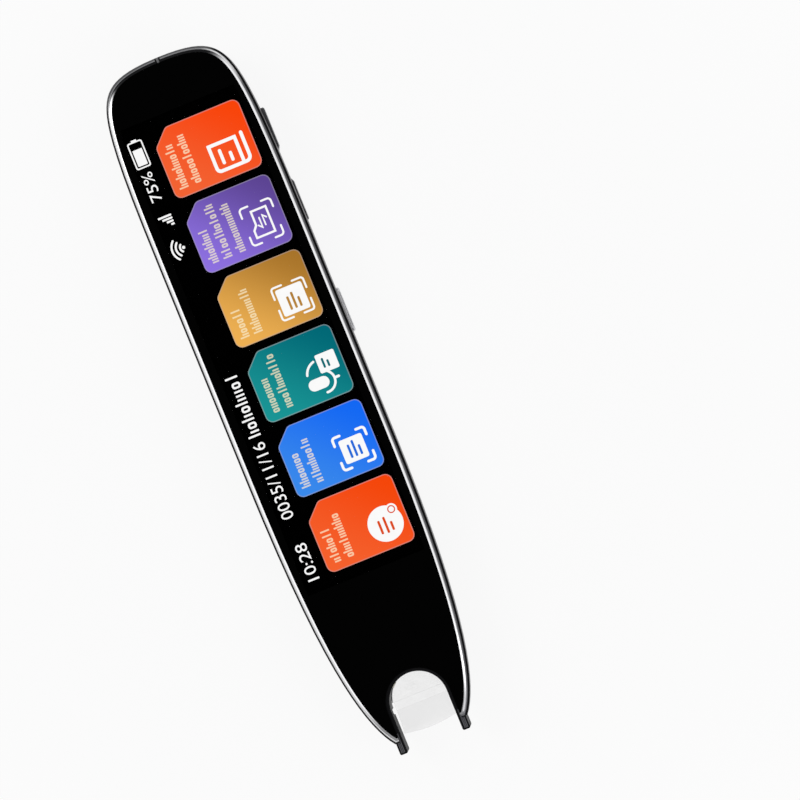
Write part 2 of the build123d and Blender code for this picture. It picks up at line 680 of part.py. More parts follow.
# Perforated plate: columns of holes, the middle ones half a pitch lower and one hole longer
with BuildPart() as speaker_plate:
    with BuildSketch(facing(BACK)):
        add(pad_outline(PLATE_SIZE, PLATE_RADIUS))
        for column in range(SOUND_COLUMNS):
            inner_column = 0 < column < SOUND_COLUMNS - 1
            count = 6 if inner_column else 5
            x = (column - (SOUND_COLUMNS - 1) / 2) * SOUND_COLUMN_GAP
            with Locations((x, SOUND_Z)):
                with GridLocations(1, SOUND_PITCH, 1, count):
                    RegularPolygon(SOUND_HOLE / 2, SOUND_HOLE_SIDES, mode=Mode.SUBTRACT)
    extrude(amount=PAD_DEPTH)
save(speaker_plate, "speaker_plate")

GASKET_THICKNESS = 0.3
SPEAKER_WALL = 0.8
SPEAKER_RADIUS = 2.0
SPEAKER_TOP = INNER_BACK - GASKET_THICKNESS
CONE_SIZE = (SPEAKER_SIZE[1] - 2 * SPEAKER_WALL, SPEAKER_SIZE[0] - 2 * SPEAKER_WALL)
CONE_THICKNESS = 0.35
CONE_ROLL = 1.75  # width of the flat surround round the dome
MAGNET_MARGIN = 2.0
MAGNET_EDGE = 1.0


def speaker_outline(inset=0.0):
    """Rounded rectangle of the speaker, drawn in by inset."""
    size = [side - 2 * inset for side in SPEAKER_SIZE]
    with BuildSketch() as sketch:
        with Locations((0, SPEAKER_Z)):
            RectangleRounded(*size, SPEAKER_RADIUS - inset)
    return sketch.sketch


with BuildPart() as speaker_gasket:
    with BuildSketch(facing(INNER_BACK)):
        add(speaker_outline())
        add(speaker_outline(SPEAKER_WALL), mode=Mode.SUBTRACT)
    extrude(amount=GASKET_THICKNESS)
save(speaker_gasket, "speaker_gasket")

with BuildPart() as speaker_frame:
    with BuildSketch(facing(SPEAKER_TOP)):
        add(speaker_outline())
    extrude(amount=SPEAKER_DEPTH)
    with BuildSketch(facing(SPEAKER_TOP)):
        add(speaker_outline(SPEAKER_WALL))
    extrude(amount=SPEAKER_DEPTH - SPEAKER_WALL, mode=Mode.SUBTRACT)
save(speaker_frame, "speaker_frame")

# Cone: a flat surround with a raised oval dome
with BuildPart() as speaker_cone:
    with BuildSketch(facing(SPEAKER_TOP - CONE_THICKNESS)):
        add(speaker_outline(SPEAKER_WALL))
    extrude(amount=CONE_THICKNESS)
    with BuildSketch(facing(SPEAKER_TOP - CONE_THICKNESS)):
        with Locations((0, SPEAKER_Z)):
            SlotOverall(CONE_SIZE[0] - 2 * CONE_ROLL, CONE_SIZE[1] - 2 * CONE_ROLL, rotation=90)
    extrude(amount=-CONE_THICKNESS, taper=45)
save(speaker_cone, "speaker_cone")

with BuildPart() as speaker_magnet:
    with BuildSketch(facing(SPEAKER_TOP - SPEAKER_DEPTH)):
        with Locations((0, SPEAKER_Z)):
            RectangleRounded(
                SPEAKER_SIZE[0] - 2 * MAGNET_MARGIN, SPEAKER_SIZE[1] - 2 * MAGNET_MARGIN, MAGNET_EDGE
            )
    extrude(amount=MAGNET_DEPTH)
save(speaker_magnet, "speaker_magnet")

# ------------------------------------------------------------------ board and battery

with BuildPart() as main_board:
    with BuildSketch(facing(BOARD_BACK)):
        add(inset_outline(BOARD_MARGIN))
        with Locations((0, BOARD_BOTTOM_Z)):
            Rectangle(BODY_WIDTH, BODY_TOP, align=(Align.CENTER, Align.MAX), mode=Mode.SUBTRACT)
        with Locations(*POST_PLACES):
            RegularPolygon(SCREW_RADIUS + FIT_GAP, SMALL_SIDES, mode=Mode.SUBTRACT)
    extrude(amount=BOARD_THICKNESS)
save(main_board, "main_board")

with BuildPart() as board_screws:
    with BuildSketch(facing(BOARD_BACK)):
        with Locations(*POST_PLACES):
            RegularPolygon(SCREW_RADIUS, SMALL_SIDES)
    extrude(amount=BOARD_BACK - CHASSIS_BACK)
    with BuildSketch(facing(BOARD_BACK + SCREW_HEAD[1])):
        with Locations(*POST_PLACES):
            RegularPolygon(SCREW_HEAD[0], SMALL_SIDES)
    extrude(amount=SCREW_HEAD[1])
save(board_screws, "board_screws")

SHIELD_SIZE = (12.0, 18.0, 1.4)
SHIELD_BELOW_CROWN = 45.9
SHIELD_Z = BODY_TOP - SHIELD_BELOW_CROWN
SHIELD_WALL = 0.25
CAN_EDGE = 0.6
CHIPS = ((-1.6, 3.5, 7.6, 8.0), (2.2, -5.1, 6.0, 6.0), (-3.0, -5.9, 3.4, 4.0))  # from the shield's middle
CHIP_HEIGHT = 0.9
RADIO_SIZE = (11.0, 13.0, 1.5)
RADIO_BELOW_CROWN = 34.4
RADIO_Z = BODY_TOP - RADIO_BELOW_CROWN

with BuildPart() as board_shield:
    with BuildSketch(facing(BOARD_BACK + SHIELD_SIZE[2])):
        with Locations((0, SHIELD_Z)):
            RectangleRounded(SHIELD_SIZE[0], SHIELD_SIZE[1], CAN_EDGE)
    extrude(amount=SHIELD_SIZE[2])
    with BuildSketch(facing(BOARD_BACK + SHIELD_SIZE[2] - SHIELD_WALL)):
        with Locations((0, SHIELD_Z)):
            Rectangle(SHIELD_SIZE[0] - 2 * SHIELD_WALL, SHIELD_SIZE[1] - 2 * SHIELD_WALL)
    extrude(amount=SHIELD_SIZE[2] - SHIELD_WALL, mode=Mode.SUBTRACT)
save(board_shield, "board_shield")

with BuildPart() as board_chips:
    with BuildSketch(facing(BOARD_BACK + CHIP_HEIGHT)):
        for x, z, width, length in CHIPS:
            with Locations((x, SHIELD_Z + z)):
                Rectangle(width, length)
    extrude(amount=CHIP_HEIGHT)
save(board_chips, "board_chips")

with BuildPart() as radio_module:
    with BuildSketch(facing(BOARD_FRONT)):
        with Locations((0, RADIO_Z)):
            RectangleRounded(RADIO_SIZE[0], RADIO_SIZE[1], CAN_EDGE)
    extrude(amount=RADIO_SIZE[2])
save(radio_module, "radio_module")

with BuildPart() as battery_tape:
    with BuildSketch(facing(CHASSIS_BACK + TAPE_THICKNESS)):
        with Locations((0, BATTERY_BOTTOM_Z + BATTERY_SIZE[2] / 2)):
            Rectangle(BATTERY_SIZE[0] - 2 * TAPE_MARGIN, BATTERY_SIZE[2] - 2 * TAPE_MARGIN)
    extrude(amount=TAPE_THICKNESS)
save(battery_tape, "battery_tape")

BATTERY_FRONT = CHASSIS_BACK + TAPE_THICKNESS

with BuildPart() as battery:
    with BuildSketch(facing(BATTERY_FRONT + BATTERY_SIZE[1])):
        with Locations((0, BATTERY_BOTTOM_Z)):
            Rectangle(BATTERY_SIZE[0], BATTERY_SIZE[2], align=(Align.CENTER, Align.MIN))
    extrude(amount=BATTERY_SIZE[1])
    fillet(battery.edges().filter_by(Axis.Z), BATTERY_EDGE)
save(battery, "battery")

# Flat lead from the battery's end to the board
LEAD = (-5.0, 5.0, 0.2, 3.0)  # middle, width, thickness and length on the board

with BuildPart() as battery_lead:
    with BuildSketch(facing(BOARD_BACK + LEAD[2])):
        with Locations((LEAD[0], BATTERY_TOP_Z)):
            Rectangle(LEAD[1], BOARD_BOTTOM_Z + LEAD[3] - BATTERY_TOP_Z, align=(Align.CENTER, Align.MIN))
    extrude(amount=LEAD[2])
save(battery_lead, "battery_lead")

# Flexible lead of the display: up its back, through the chassis and onto the board
with BuildPart() as display_flex:
    middle, width, thin = DISPLAY_FLEX
    start_z, cross_z, end_z = DISPLAY_FLEX_Z
    with BuildSketch(Plane.YZ.offset(middle - width / 2)):
        with BuildLine():
            Polyline(
                (SCREEN_BACK, start_z),
                (SCREEN_BACK, cross_z + thin),
                (BOARD_FRONT - thin, cross_z + thin),
                (BOARD_FRONT - thin, end_z),
                (BOARD_FRONT, end_z),
                (BOARD_FRONT, cross_z),
                (SCREEN_BACK + thin, cross_z),
                (SCREEN_BACK + thin, start_z),
                close=True,
            )
        make_face()
    extrude(amount=width)
save(display_flex, "display_flex")

with BuildPart() as usb_shell:
    with BuildSketch(Plane.XY.offset(PORT_TOP_Z - PORT_DEPTH)):
        with Locations((0, PORT_Y)):
            SlotOverall(PORT_WIDTH, PORT_HEIGHT)
    extrude(amount=PORT_DEPTH)
    with BuildSketch(Plane.XY.offset(PORT_TOP_Z - PORT_DEPTH + PORT_WALL)):
        with Locations((0, PORT_Y)):
            SlotOverall(PORT_WIDTH - 2 * PORT_WALL, PORT_HEIGHT - 2 * PORT_WALL)
    extrude(amount=PORT_DEPTH, mode=Mode.SUBTRACT)
save(usb_shell, "usb_shell")

with BuildPart() as usb_tongue:
    with BuildSketch(Plane.XY.offset(PORT_TOP_Z - PORT_DEPTH + PORT_WALL)):
        with Locations((0, PORT_Y)):
            Rectangle(PORT_TONGUE[0], PORT_TONGUE[1])
    extrude(amount=PORT_TONGUE[2])
    fillet(usb_tongue.edges().filter_by(Axis.Z), PORT_TONGUE_EDGE)
save(usb_tongue, "usb_tongue")

# ------------------------------------------------------------------ side keys


def side_key(name):
    """Key with a bevelled outer edge and a flange that holds it behind the wall."""
    with BuildPart() as key:
        with BuildSketch(Plane.YZ.offset(FLANGE_OUTSIDE)):
            add(key_span(name))
        extrude(amount=SIDE + KEY_PROUD[name] - FLANGE_OUTSIDE)
        chamfer(key.faces().sort_by(Axis.X)[-1].edges(), KEY_EDGE)
        with BuildSketch(Plane.YZ.offset(FLANGE_OUTSIDE - KEY_FLANGE)):
            add(key_span(name, KEY_FLANGE))
        extrude(amount=KEY_FLANGE)
        if name != "function":
            # The facing ends of the volume keys slope down to the divider
            towards = -1 if name == "volume_up" else 1
            end = KEY_Z[name] + towards * KEY_LENGTH / 2
            outside = SIDE + KEY_PROUD[name]
            along, inwards = KEY_BEVEL
            with BuildSketch(Plane.XZ.offset(-KEY_Y)):
                with BuildLine():
                    Polyline(
                        (outside, end - towards * along),
                        (outside - inwards, end),
                        (outside + 1, end),
                        close=True,
                    )
                make_face()
            extrude(amount=KEY_WIDTH, both=True, mode=Mode.SUBTRACT)
    return key


for key_name in KEY_Z:
    save(side_key(key_name), f"{key_name}_key")

with BuildPart() as key_divider:
    with BuildSketch(Plane.YZ.offset(SIDE - DIVIDER_DEPTH)):
        with Locations((KEY_Y, (KEY_Z["volume_up"] + KEY_Z["volume_down"]) / 2)):
            Rectangle(
                KEY_WIDTH - 2 * SEAM,
                KEY_Z["volume_up"] - KEY_Z["volume_down"] - KEY_LENGTH - 2 * RUNNING_GAP,
            )
    extrude(amount=DIVIDER_DEPTH - DIVIDER_SUNK)
save(key_divider, "key_divider")

with BuildPart() as key_flex:
    with BuildSketch(Plane.YZ.offset(BRACKET_OUTSIDE)):
        with Locations((KEY_Y, FLEX_BOTTOM_Z)):
            Rectangle(KEY_FLEX_WIDTH, FLEX_TOP_Z - FLEX_BOTTOM_Z, align=(Align.CENTER, Align.MIN))
    extrude(amount=KEY_FLEX_THICKNESS)
save(key_flex, "key_flex")

with BuildPart() as key_domes:
    with BuildSketch(Plane.YZ.offset(FLEX_OUTSIDE)):
        with Locations(*[(KEY_Y, z) for z in KEY_Z.values()]):
            RegularPolygon(DOME_RADIUS, SMALL_SIDES)
    extrude(amount=DOME_HEIGHT, taper=DOME_TAPER)
save(key_domes, "key_domes")

with BuildPart() as microphone:
    with BuildSketch(Plane.YZ.offset(FLEX_OUTSIDE)):
        with Locations((KEY_Y, MIC_Z)):
            Rectangle(*MIC_SIZE)
    extrude(amount=WALL_INSIDE - FIT_GAP - FLEX_OUTSIDE)
    with BuildSketch(Plane.YZ.offset(WALL_INSIDE - FIT_GAP)):
        with Locations((KEY_Y, MIC_Z)):
            Circle(MIC_HOLE / 2)
    extrude(amount=-MIC_HOLE_DEPTH, mode=Mode.SUBTRACT)
save(microphone, "microphone")

ANTENNA_SIZE = (0.2, 1.1, 34.0)
ANTENNA_TOP_Z = BODY_TOP - CROWN_START - COVER_WALL
ANTENNA_Y = BELT_Y - ANTENNA_SIZE[1] / 2 - FIT_GAP

with BuildPart() as antenna:
    with BuildSketch(Plane.YZ.offset(FIT_GAP - WALL_INSIDE)):
        with Locations((ANTENNA_Y, ANTENNA_TOP_Z)):
            Rectangle(ANTENNA_SIZE[1], ANTENNA_SIZE[2], align=(Align.CENTER, Align.MAX))
    extrude(amount=ANTENNA_SIZE[0])
save(antenna, "antenna")

# ------------------------------------------------------------------ scan head

STEM_BACK = FRAME_BACK - FIT_GAP
SPRING_Y = FORK_FRONT + (STEM_BACK - FORK_FRONT) / 2
TAB_FRONT = FRAME_BACK + RUNNING_GAP

# Fork: an arch round the notch with two long feet, a stem for its spring and a tab for its switch
with BuildPart() as trigger_fork:
    with BuildSketch(facing(FORK_ARCH_BACK)):
        with Locations((0, NOTCH_CENTRE_Z)):
            Circle(FORK_OUTER)
        Rectangle(2 * FORK_OUTER, NOTCH_CENTRE_Z, align=(Align.CENTER, Align.MIN))
        add(notch_outline(NOTCH_RADIUS), mode=Mode.SUBTRACT)
    extrude(amount=ARCH_DEPTH)
    with BuildSketch(facing(FOOT_BACK)):
        for side in (-1, 1):
            with Locations((side * (NOTCH_RADIUS + FORK_WALL / 2), 0)):
                Rectangle(FORK_WALL, FOOT_TOP_Z, align=(Align.CENTER, Align.MIN))
    extrude(amount=FOOT_DEPTH)
    fillet(trigger_fork.faces().sort_by(Axis.Z)[:2].edges(), FOOT_ROUND)
    with BuildSketch(facing(STEM_BACK)):
        with Locations((0, NOTCH_CENTRE_Z + NOTCH_RADIUS + FORK_WALL / 2)):
            Rectangle(
                STEM_WIDTH,
                STEM_TOP_Z - NOTCH_CENTRE_Z - NOTCH_RADIUS - FORK_WALL / 2,
                align=(Align.CENTER, Align.MIN),
            )
    extrude(amount=STEM_BACK - FORK_FRONT)
    with BuildSketch(facing(TAB_FRONT + TAB_DEPTH)):
        with Locations((TAB_X, TAB_TOP_Z)):
            Rectangle(*TAB_SIZE, align=(Align.CENTER, Align.MAX))
    extrude(amount=TAB_DEPTH)
    # Fine upright grooves on the fronts of the feet
    width, depth = FOOT_GROOVE
    with BuildSketch(facing(FORK_FRONT + depth)):
        for side in (-1, 1):
            with Locations((side * (NOTCH_RADIUS + FORK_WALL / 2), FOOT_ROUND)):
                with GridLocations(FOOT_GROOVE_PITCH, 1, FOOT_GROOVE_COUNT, 1):
                    Rectangle(width, TOE_Z - FOOT_ROUND, align=(Align.CENTER, Align.MIN))
    extrude(amount=depth, mode=Mode.SUBTRACT)
save(trigger_fork, "trigger_fork")

SPRING_LENGTH = SPRING_TOP_Z - STEM_TOP_Z - SPRING_WIRE

with BuildPart() as fork_spring:
    with BuildLine():
        Helix(
            SPRING_LENGTH / SPRING_TURNS,
            SPRING_LENGTH,
            SPRING_RADIUS,
            center=(0, SPRING_Y, STEM_TOP_Z + SPRING_WIRE / 2),
        )
    with BuildSketch(Plane((SPRING_RADIUS, SPRING_Y, STEM_TOP_Z + SPRING_WIRE / 2), z_dir=(0, 1, 0))):
        RegularPolygon(SPRING_WIRE / 2, WIRE_SIDES)
    sweep(is_frenet=True)
save(fork_spring, "fork_spring")

with BuildPart() as scan_chassis:
    half_width, ear_top, ear_thickness = HEAD_EAR
    with BuildSketch(facing(HEAD_BACK)):
        with Locations((0, HEAD_LEG_Z)):
            Rectangle(2 * HEAD_HALF_WIDTH, HEAD_TOP_Z - HEAD_LEG_Z, align=(Align.CENTER, Align.MIN))
        add(notch_outline(NOTCH_RADIUS + FIT_GAP), mode=Mode.SUBTRACT)
    extrude(amount=HEAD_BACK - HEAD_Y)
    # Ear that is screwed to the chassis
    with BuildSketch(facing(CHASSIS_BACK + ear_thickness)):
        with Locations((0, CHASSIS_BOTTOM_Z)):
            Rectangle(2 * half_width, ear_top - CHASSIS_BOTTOM_Z, align=(Align.CENTER, Align.MIN))
    extrude(amount=ear_thickness)
    with BuildSketch(facing(HEAD_Y)):
        with Locations((0, CHASSIS_BOTTOM_Z)):
            Rectangle(2 * half_width, HEAD_TIE, align=(Align.CENTER, Align.MAX))
    extrude(amount=HEAD_Y - CHASSIS_BACK)
    # Bore for the lens barrel
    with BuildSketch(Plane.XY.offset(NOTCH_CENTRE_Z)):
        with Locations((0, BARREL_Y)):
            Circle(BARREL_RADIUS + FIT_GAP / 2)
    extrude(amount=HEAD_TOP_Z, mode=Mode.SUBTRACT)
    with BuildSketch(facing(CHASSIS_BACK + ear_thickness)):
        for side in (-1, 1):
            with Locations((side * HEAD_SCREW_X, (CHASSIS_BOTTOM_Z + ear_top) / 2)):
                RegularPolygon(SCREW_RADIUS + FIT_GAP, SMALL_SIDES)
    extrude(amount=ear_thickness, mode=Mode.SUBTRACT)
save(scan_chassis, "scan_chassis")

with BuildPart() as head_screws:
    places = [(side * HEAD_SCREW_X, (CHASSIS_BOTTOM_Z + HEAD_EAR[1]) / 2) for side in (-1, 1)]
    with BuildSketch(facing(CHASSIS_BACK + HEAD_EAR[2])):
        with Locations(*places):
            RegularPolygon(SCREW_RADIUS, SMALL_SIDES)
    extrude(amount=CHASSIS_THICKNESS + HEAD_EAR[2])
    with BuildSketch(facing(CHASSIS_BACK + HEAD_EAR[2] + SCREW_HEAD[1])):
        with Locations(*places):
            RegularPolygon(SCREW_HEAD[0], SMALL_SIDES)
    extrude(amount=SCREW_HEAD[1])
save(head_screws, "head_screws")

with BuildPart() as camera_barrel:
    with BuildSketch(Plane.XY.offset(BARREL_BOTTOM_Z)):
        with Locations((0, BARREL_Y)):
            Circle(BARREL_RADIUS)
            Circle(LENS_RADIUS, mode=Mode.SUBTRACT)
    extrude(amount=HEAD_TOP_Z - BARREL_BOTTOM_Z)
save(camera_barrel, "camera_barrel")

with BuildPart() as camera_lens:
    with BuildSketch(Plane.XY.offset(BARREL_BOTTOM_Z + LENS_SUNK)):
        with Locations((0, BARREL_Y)):
            Circle(LENS_RADIUS)
    extrude(amount=LENS_THICKNESS)
save(camera_lens, "camera_lens")

CAMERA_BOARD = (12.0, 0.8)
CAMERA_BOARD_MARGIN = 0.2

with BuildPart() as camera_board:
    with BuildSketch(Plane.XY.offset(HEAD_TOP_Z)):
        with Locations((0, BARREL_Y)):
            Rectangle(CAMERA_BOARD[0], HEAD_BACK - HEAD_Y - 2 * CAMERA_BOARD_MARGIN)
    extrude(amount=CAMERA_BOARD[1])
    with BuildSketch(Plane.XY.offset(HEAD_TOP_Z)):
        with Locations((0, BARREL_Y)):
            Rectangle(SENSOR_SIZE[0], SENSOR_SIZE[0])
    extrude(amount=-SENSOR_SIZE[1])
save(camera_board, "camera_board")

# Lamps on the roof of the notch, aimed at its centre, with their rims on the curved roof
LAMP_REACH = sqrt((NOTCH_RADIUS + FIT_GAP) ** 2 - LED_RADIUS**2)

with BuildPart() as scan_lamps:
    for side in (-1, 1):
        angle = radians(LED_ANGLE)
        towards = Vector(side * sin(angle), 0, cos(angle))
        place = Vector(0, BARREL_Y, NOTCH_CENTRE_Z) + towards * LAMP_REACH
        with BuildSketch(Plane(place, z_dir=-towards)):
            RegularPolygon(LED_RADIUS, SMALL_SIDES)
        extrude(amount=LED_HEIGHT, taper=LED_TAPER)
save(scan_lamps, "scan_lamps")

SWITCH_Z = TAB_TOP_Z + FORK_TRAVEL + FIT_GAP

with BuildPart() as trigger_switch:
    with BuildSketch(facing(HEAD_Y)):
        with Locations((TAB_X, SWITCH_Z)):
            Rectangle(*SWITCH_BUTTON, align=(Align.CENTER, Align.MIN))
        with Locations((TAB_X, SWITCH_Z + SWITCH_BUTTON[1])):
            Rectangle(SWITCH_BODY[0], SWITCH_BODY[1], align=(Align.CENTER, Align.MIN))
    extrude(amount=SWITCH_BODY[2])
save(trigger_switch, "trigger_switch")

with BuildPart() as scan_head_cover:
    with BuildSketch(facing(BACK)):
        add(head_cover_outline(bottom=HEAD_COVER_END_Z))
        add(notch_outline(NOTCH_RADIUS), mode=Mode.SUBTRACT)
    extrude(amount=HEAD_COVER_THICKNESS)
save(scan_head_cover, "scan_head_cover")

with BuildSketch() as lower_half:
    with Locations((0, HEAD_COVER_END_Z)):
        Rectangle(BODY_WIDTH, BODY_TOP, align=(Align.CENTER, Align.MAX))
below_head_cover = lower_half.sketch

# Clear visor that closes the back of the notch and follows the round of the toe
with BuildPart() as scan_window:
    add(back_form())
    add(back_form(VISOR_WALL, INSIDE_STEPS), mode=Mode.SUBTRACT)
    with BuildSketch(facing(BACK)):
        with Locations((0, VISOR_END_Z + VISOR_END_RADIUS)):
            Circle(VISOR_END_RADIUS)
        add(notch_outline(NOTCH_RADIUS - RUNNING_GAP), mode=Mode.INTERSECT)
    extrude(amount=BACK - VISOR_FRONT, mode=Mode.INTERSECT)
    with BuildSketch(facing(HEAD_COVER_INSIDE)):
        with Locations((0, NOTCH_CENTRE_Z)):
            Circle(VISOR_FLANGE_RADIUS)
        add(below_head_cover, mode=Mode.SUBTRACT)
    extrude(amount=VISOR_FLANGE)
    with BuildSketch(facing(BACK - VISOR_WALL / 2)):
        with Locations((0, NOTCH_CENTRE_Z)):
            Circle(NOTCH_RADIUS - RUNNING_GAP)
        add(below_head_cover, mode=Mode.SUBTRACT)
    extrude(amount=HEAD_COVER_THICKNESS)
save(scan_window, "scan_window")
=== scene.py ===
"""Dresses the fixed frame of a scanning translator pen: finishes, a lit screen, small parts and a stage."""

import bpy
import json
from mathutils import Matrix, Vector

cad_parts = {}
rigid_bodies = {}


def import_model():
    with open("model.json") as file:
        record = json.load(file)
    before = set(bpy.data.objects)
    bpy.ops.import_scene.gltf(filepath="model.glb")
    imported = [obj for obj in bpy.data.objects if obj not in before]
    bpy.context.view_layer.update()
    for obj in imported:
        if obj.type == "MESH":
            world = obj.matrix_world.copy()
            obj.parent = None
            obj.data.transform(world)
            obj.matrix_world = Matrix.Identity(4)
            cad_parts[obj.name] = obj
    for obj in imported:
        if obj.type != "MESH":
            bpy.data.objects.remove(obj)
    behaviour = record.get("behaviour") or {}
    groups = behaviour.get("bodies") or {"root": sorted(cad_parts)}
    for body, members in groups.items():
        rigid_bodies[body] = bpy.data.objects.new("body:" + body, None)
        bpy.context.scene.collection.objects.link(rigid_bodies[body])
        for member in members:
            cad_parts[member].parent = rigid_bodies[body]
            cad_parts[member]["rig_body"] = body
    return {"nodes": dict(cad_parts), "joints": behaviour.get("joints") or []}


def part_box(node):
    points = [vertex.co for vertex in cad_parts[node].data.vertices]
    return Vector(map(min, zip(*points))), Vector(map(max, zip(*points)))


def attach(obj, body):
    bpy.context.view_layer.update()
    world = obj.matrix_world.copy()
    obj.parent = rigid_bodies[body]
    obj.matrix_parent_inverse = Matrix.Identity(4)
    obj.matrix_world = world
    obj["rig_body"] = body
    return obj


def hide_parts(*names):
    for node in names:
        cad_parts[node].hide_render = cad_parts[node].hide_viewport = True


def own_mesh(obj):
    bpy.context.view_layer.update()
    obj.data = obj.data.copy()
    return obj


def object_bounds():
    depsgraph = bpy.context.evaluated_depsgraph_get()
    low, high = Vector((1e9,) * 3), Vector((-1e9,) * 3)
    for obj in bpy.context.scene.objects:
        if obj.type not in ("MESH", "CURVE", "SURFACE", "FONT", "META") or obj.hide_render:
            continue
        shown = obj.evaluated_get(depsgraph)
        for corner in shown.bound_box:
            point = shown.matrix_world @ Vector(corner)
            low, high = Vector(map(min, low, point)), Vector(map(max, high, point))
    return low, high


bl_info = {
    "name": "Scanning Pen Dresser",
    "version": (1, 0, 0),
    "blender": (4, 5, 0),
    "location": "View3D > Sidebar > Pen",
    "description": "Dresses the frame of a scanning translator pen with finishes, a lit screen and a stage",
    "category": "Object",
}

import cmath
import json
from math import cos, pi, radians, sin, tan
from typing import NamedTuple

import bmesh
import bpy
from bpy.props import (BoolProperty, FloatProperty, FloatVectorProperty, IntProperty, PointerProperty,
                       StringProperty)
from mathutils import Matrix, Vector

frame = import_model()

MM = 0.001
MERGE_DISTANCE = 1e-6
CAD_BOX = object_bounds()
CAD_MIDDLE = (CAD_BOX[0] + CAD_BOX[1]) / 2
SCREEN_LOW, SCREEN_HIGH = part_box("display_panel")
TIPS_Y = CAD_BOX[0].y
# Places along the pen, in mm from the tips of its feet.
PEN_LENGTH = (CAD_BOX[1].y - TIPS_Y) / MM
SCREEN_BOTTOM = (SCREEN_LOW.y - TIPS_Y) / MM
SCREEN_TOP = (SCREEN_HIGH.y - TIPS_Y) / MM
# How far towards the keys the dark lines of painted shade on the trim and the rim run over the crown, in mm.
CROWN_SHADE_REACH = 12.0


def srgb(red, green, blue):
    """The linear values of a colour that a display writes as 0 to 255."""
    shares = (channel / 255 for channel in (red, green, blue))
    return tuple(s / 12.92 if s <= 0.04045 else ((s + 0.055) / 1.055) ** 2.4 for s in shares)


# ---------------------------------------------------------------- settings


def length(name, description, default):
    """A length in metres that a user may change."""
    return FloatProperty(name=name, description=description, default=default, unit="LENGTH", precision=5)


def share(name, description, default):
    """A share from none to all of something."""
    return FloatProperty(name=name, description=description, default=default, min=0, max=1,
                         subtype="FACTOR")


def colour(name, description, default):
    """A linear colour that a user may change."""
    return FloatVectorProperty(name=name, description=description, default=default, min=0, max=1,
                               subtype="COLOR")


def amount(name, description, default, least=0, unit="NONE"):
    """A plain number that a user may change."""
    return FloatProperty(name=name, description=description, default=default, min=least, unit=unit)


def tilt(name, description, degrees):
    """An angle that a user may change."""
    return FloatProperty(name=name, description=description, default=radians(degrees), subtype="ANGLE")


class PEN_PG_finish(bpy.types.PropertyGroup):
    """Colours and surface values of the housing and the outer parts"""

    shell: colour("Shell", "Satin gunmetal of the rear cover", srgb(124, 124, 125))
    shell_warm: colour("Warm edge", "Tint of the shell towards the side with the keys", srgb(116, 106, 114))
    # Painted shade: the shell's metal darkened along the pen's sides; the front frame's flank takes it too.
    shell_side_shade: colour("Shell's sides", "The same metal along the pen's sides", srgb(84, 82, 84))
    shell_roughness: share("Shell roughness", "How far the satin shell scatters a reflection", 0.36)
    rim: colour("Front rim", "Metal of the front frame beside the trim", srgb(252, 252, 254))
    # Painted shade: the rim darker on the side with the keys.
    rim_keys: colour("Rim by the keys", "The same metal on the side with the keys", srgb(122, 122, 125))
    # Painted shade: the rim dimmer where it turns over the crown.
    rim_crown: colour("Rim at the crown", "The same metal where it turns over the crown", srgb(138, 138, 140))
    # Painted shade of the rim's bevel and of the dark lines of rim and trim over the crown; also the colour
    # of the real dark seams beside the crown's bridge.
    rim_dark: colour("Rim's bevel", "Shaded bevel between the frame's top and side", srgb(24, 24, 25))
    trim: colour("Trim", "Polished edge round the glass", srgb(246, 246, 248))
    # Painted shade: the trim duller towards the tips.
    trim_tip_shade: colour("Trim at the tips", "The same edge towards the tips", srgb(104, 104, 106))
    glass: colour("Glass", "Ink behind the cover glass", srgb(1, 1, 1))
    inlay: colour("Inlay", "Textured panel round the speaker", srgb(92, 92, 93))
    key: colour("Function key", "Brushed metal of the function key", srgb(205, 205, 208))
    # Painted shade: a darker copy of the function key's metal for the volume keys.
    key_dark: colour("Volume keys", "Darker brushed metal of the volume keys", srgb(66, 66, 69))
    fork: colour("Fork", "Dark plastic of the sprung fork", srgb(20, 20, 22))
    # Painted highlight: the fork's plastic made paler on the feet's ribs.
    grip: colour("Foot ribs", "Highlighted plastic of the ribs on the feet", srgb(104, 104, 108))
    head_cover: colour("Head cover", "Plastic panel behind the scan head", srgb(72, 71, 72))
    visor: colour("Visor", "Clear plastic behind the notch", srgb(244, 242, 243))
    visor_cover: share("Visor haze", "How much of the light the visor holds back", 0.1)
    grain: length("Grain depth", "Depth of the blasted grain on the shell", 0.0000025)


class PEN_PG_screen(bpy.types.PropertyGroup):
    """Sizes and colours of what the screen shows"""

    tile_width: length("Tile width", "Width of one tile across the screen", 0.01995)
    tile_height: length("Tile height", "Height of one tile along the screen", 0.0153)
    tile_pitch: length("Tile pitch", "Distance from one tile to the next", 0.01709)
    tile_margin: length("Tile margin", "Distance from the screen's edge to the tiles", 0.0061)
    top_margin: length("Top margin", "Distance from the screen's top to the first tile", 0.00295)
    corner: length("Corner radius", "Radius of a tile's corners", 0.0016)
    cut: length("Cut corner", "How far the cut corner reaches along each edge", 0.0035)
    ink: colour("Ink", "Colour of digits and icons", srgb(255, 255, 255))
    label: colour("Label ink", "Warm white of the label rows", srgb(255, 244, 205))
    label_cover: share("Label cover", "How far the label rows turn from their tile's colour to the ink", 0.6)
    strength: amount("Strength", "How bright the screen is", 1.06)
    show_through: share("Show-through", "Share of the screen's light that the dark glass lets out", 0.93)
    clock: StringProperty(name="Clock", description="Digits of the clock", default="10:28")
    charge: StringProperty(name="Charge", description="Digits of the charge", default="75%")
    date: StringProperty(name="Date", description="Digits of the date", default="0035/11/16")
    seed: IntProperty(name="Label seed", description="Seed of the label rows' rhythm", default=7, min=0)


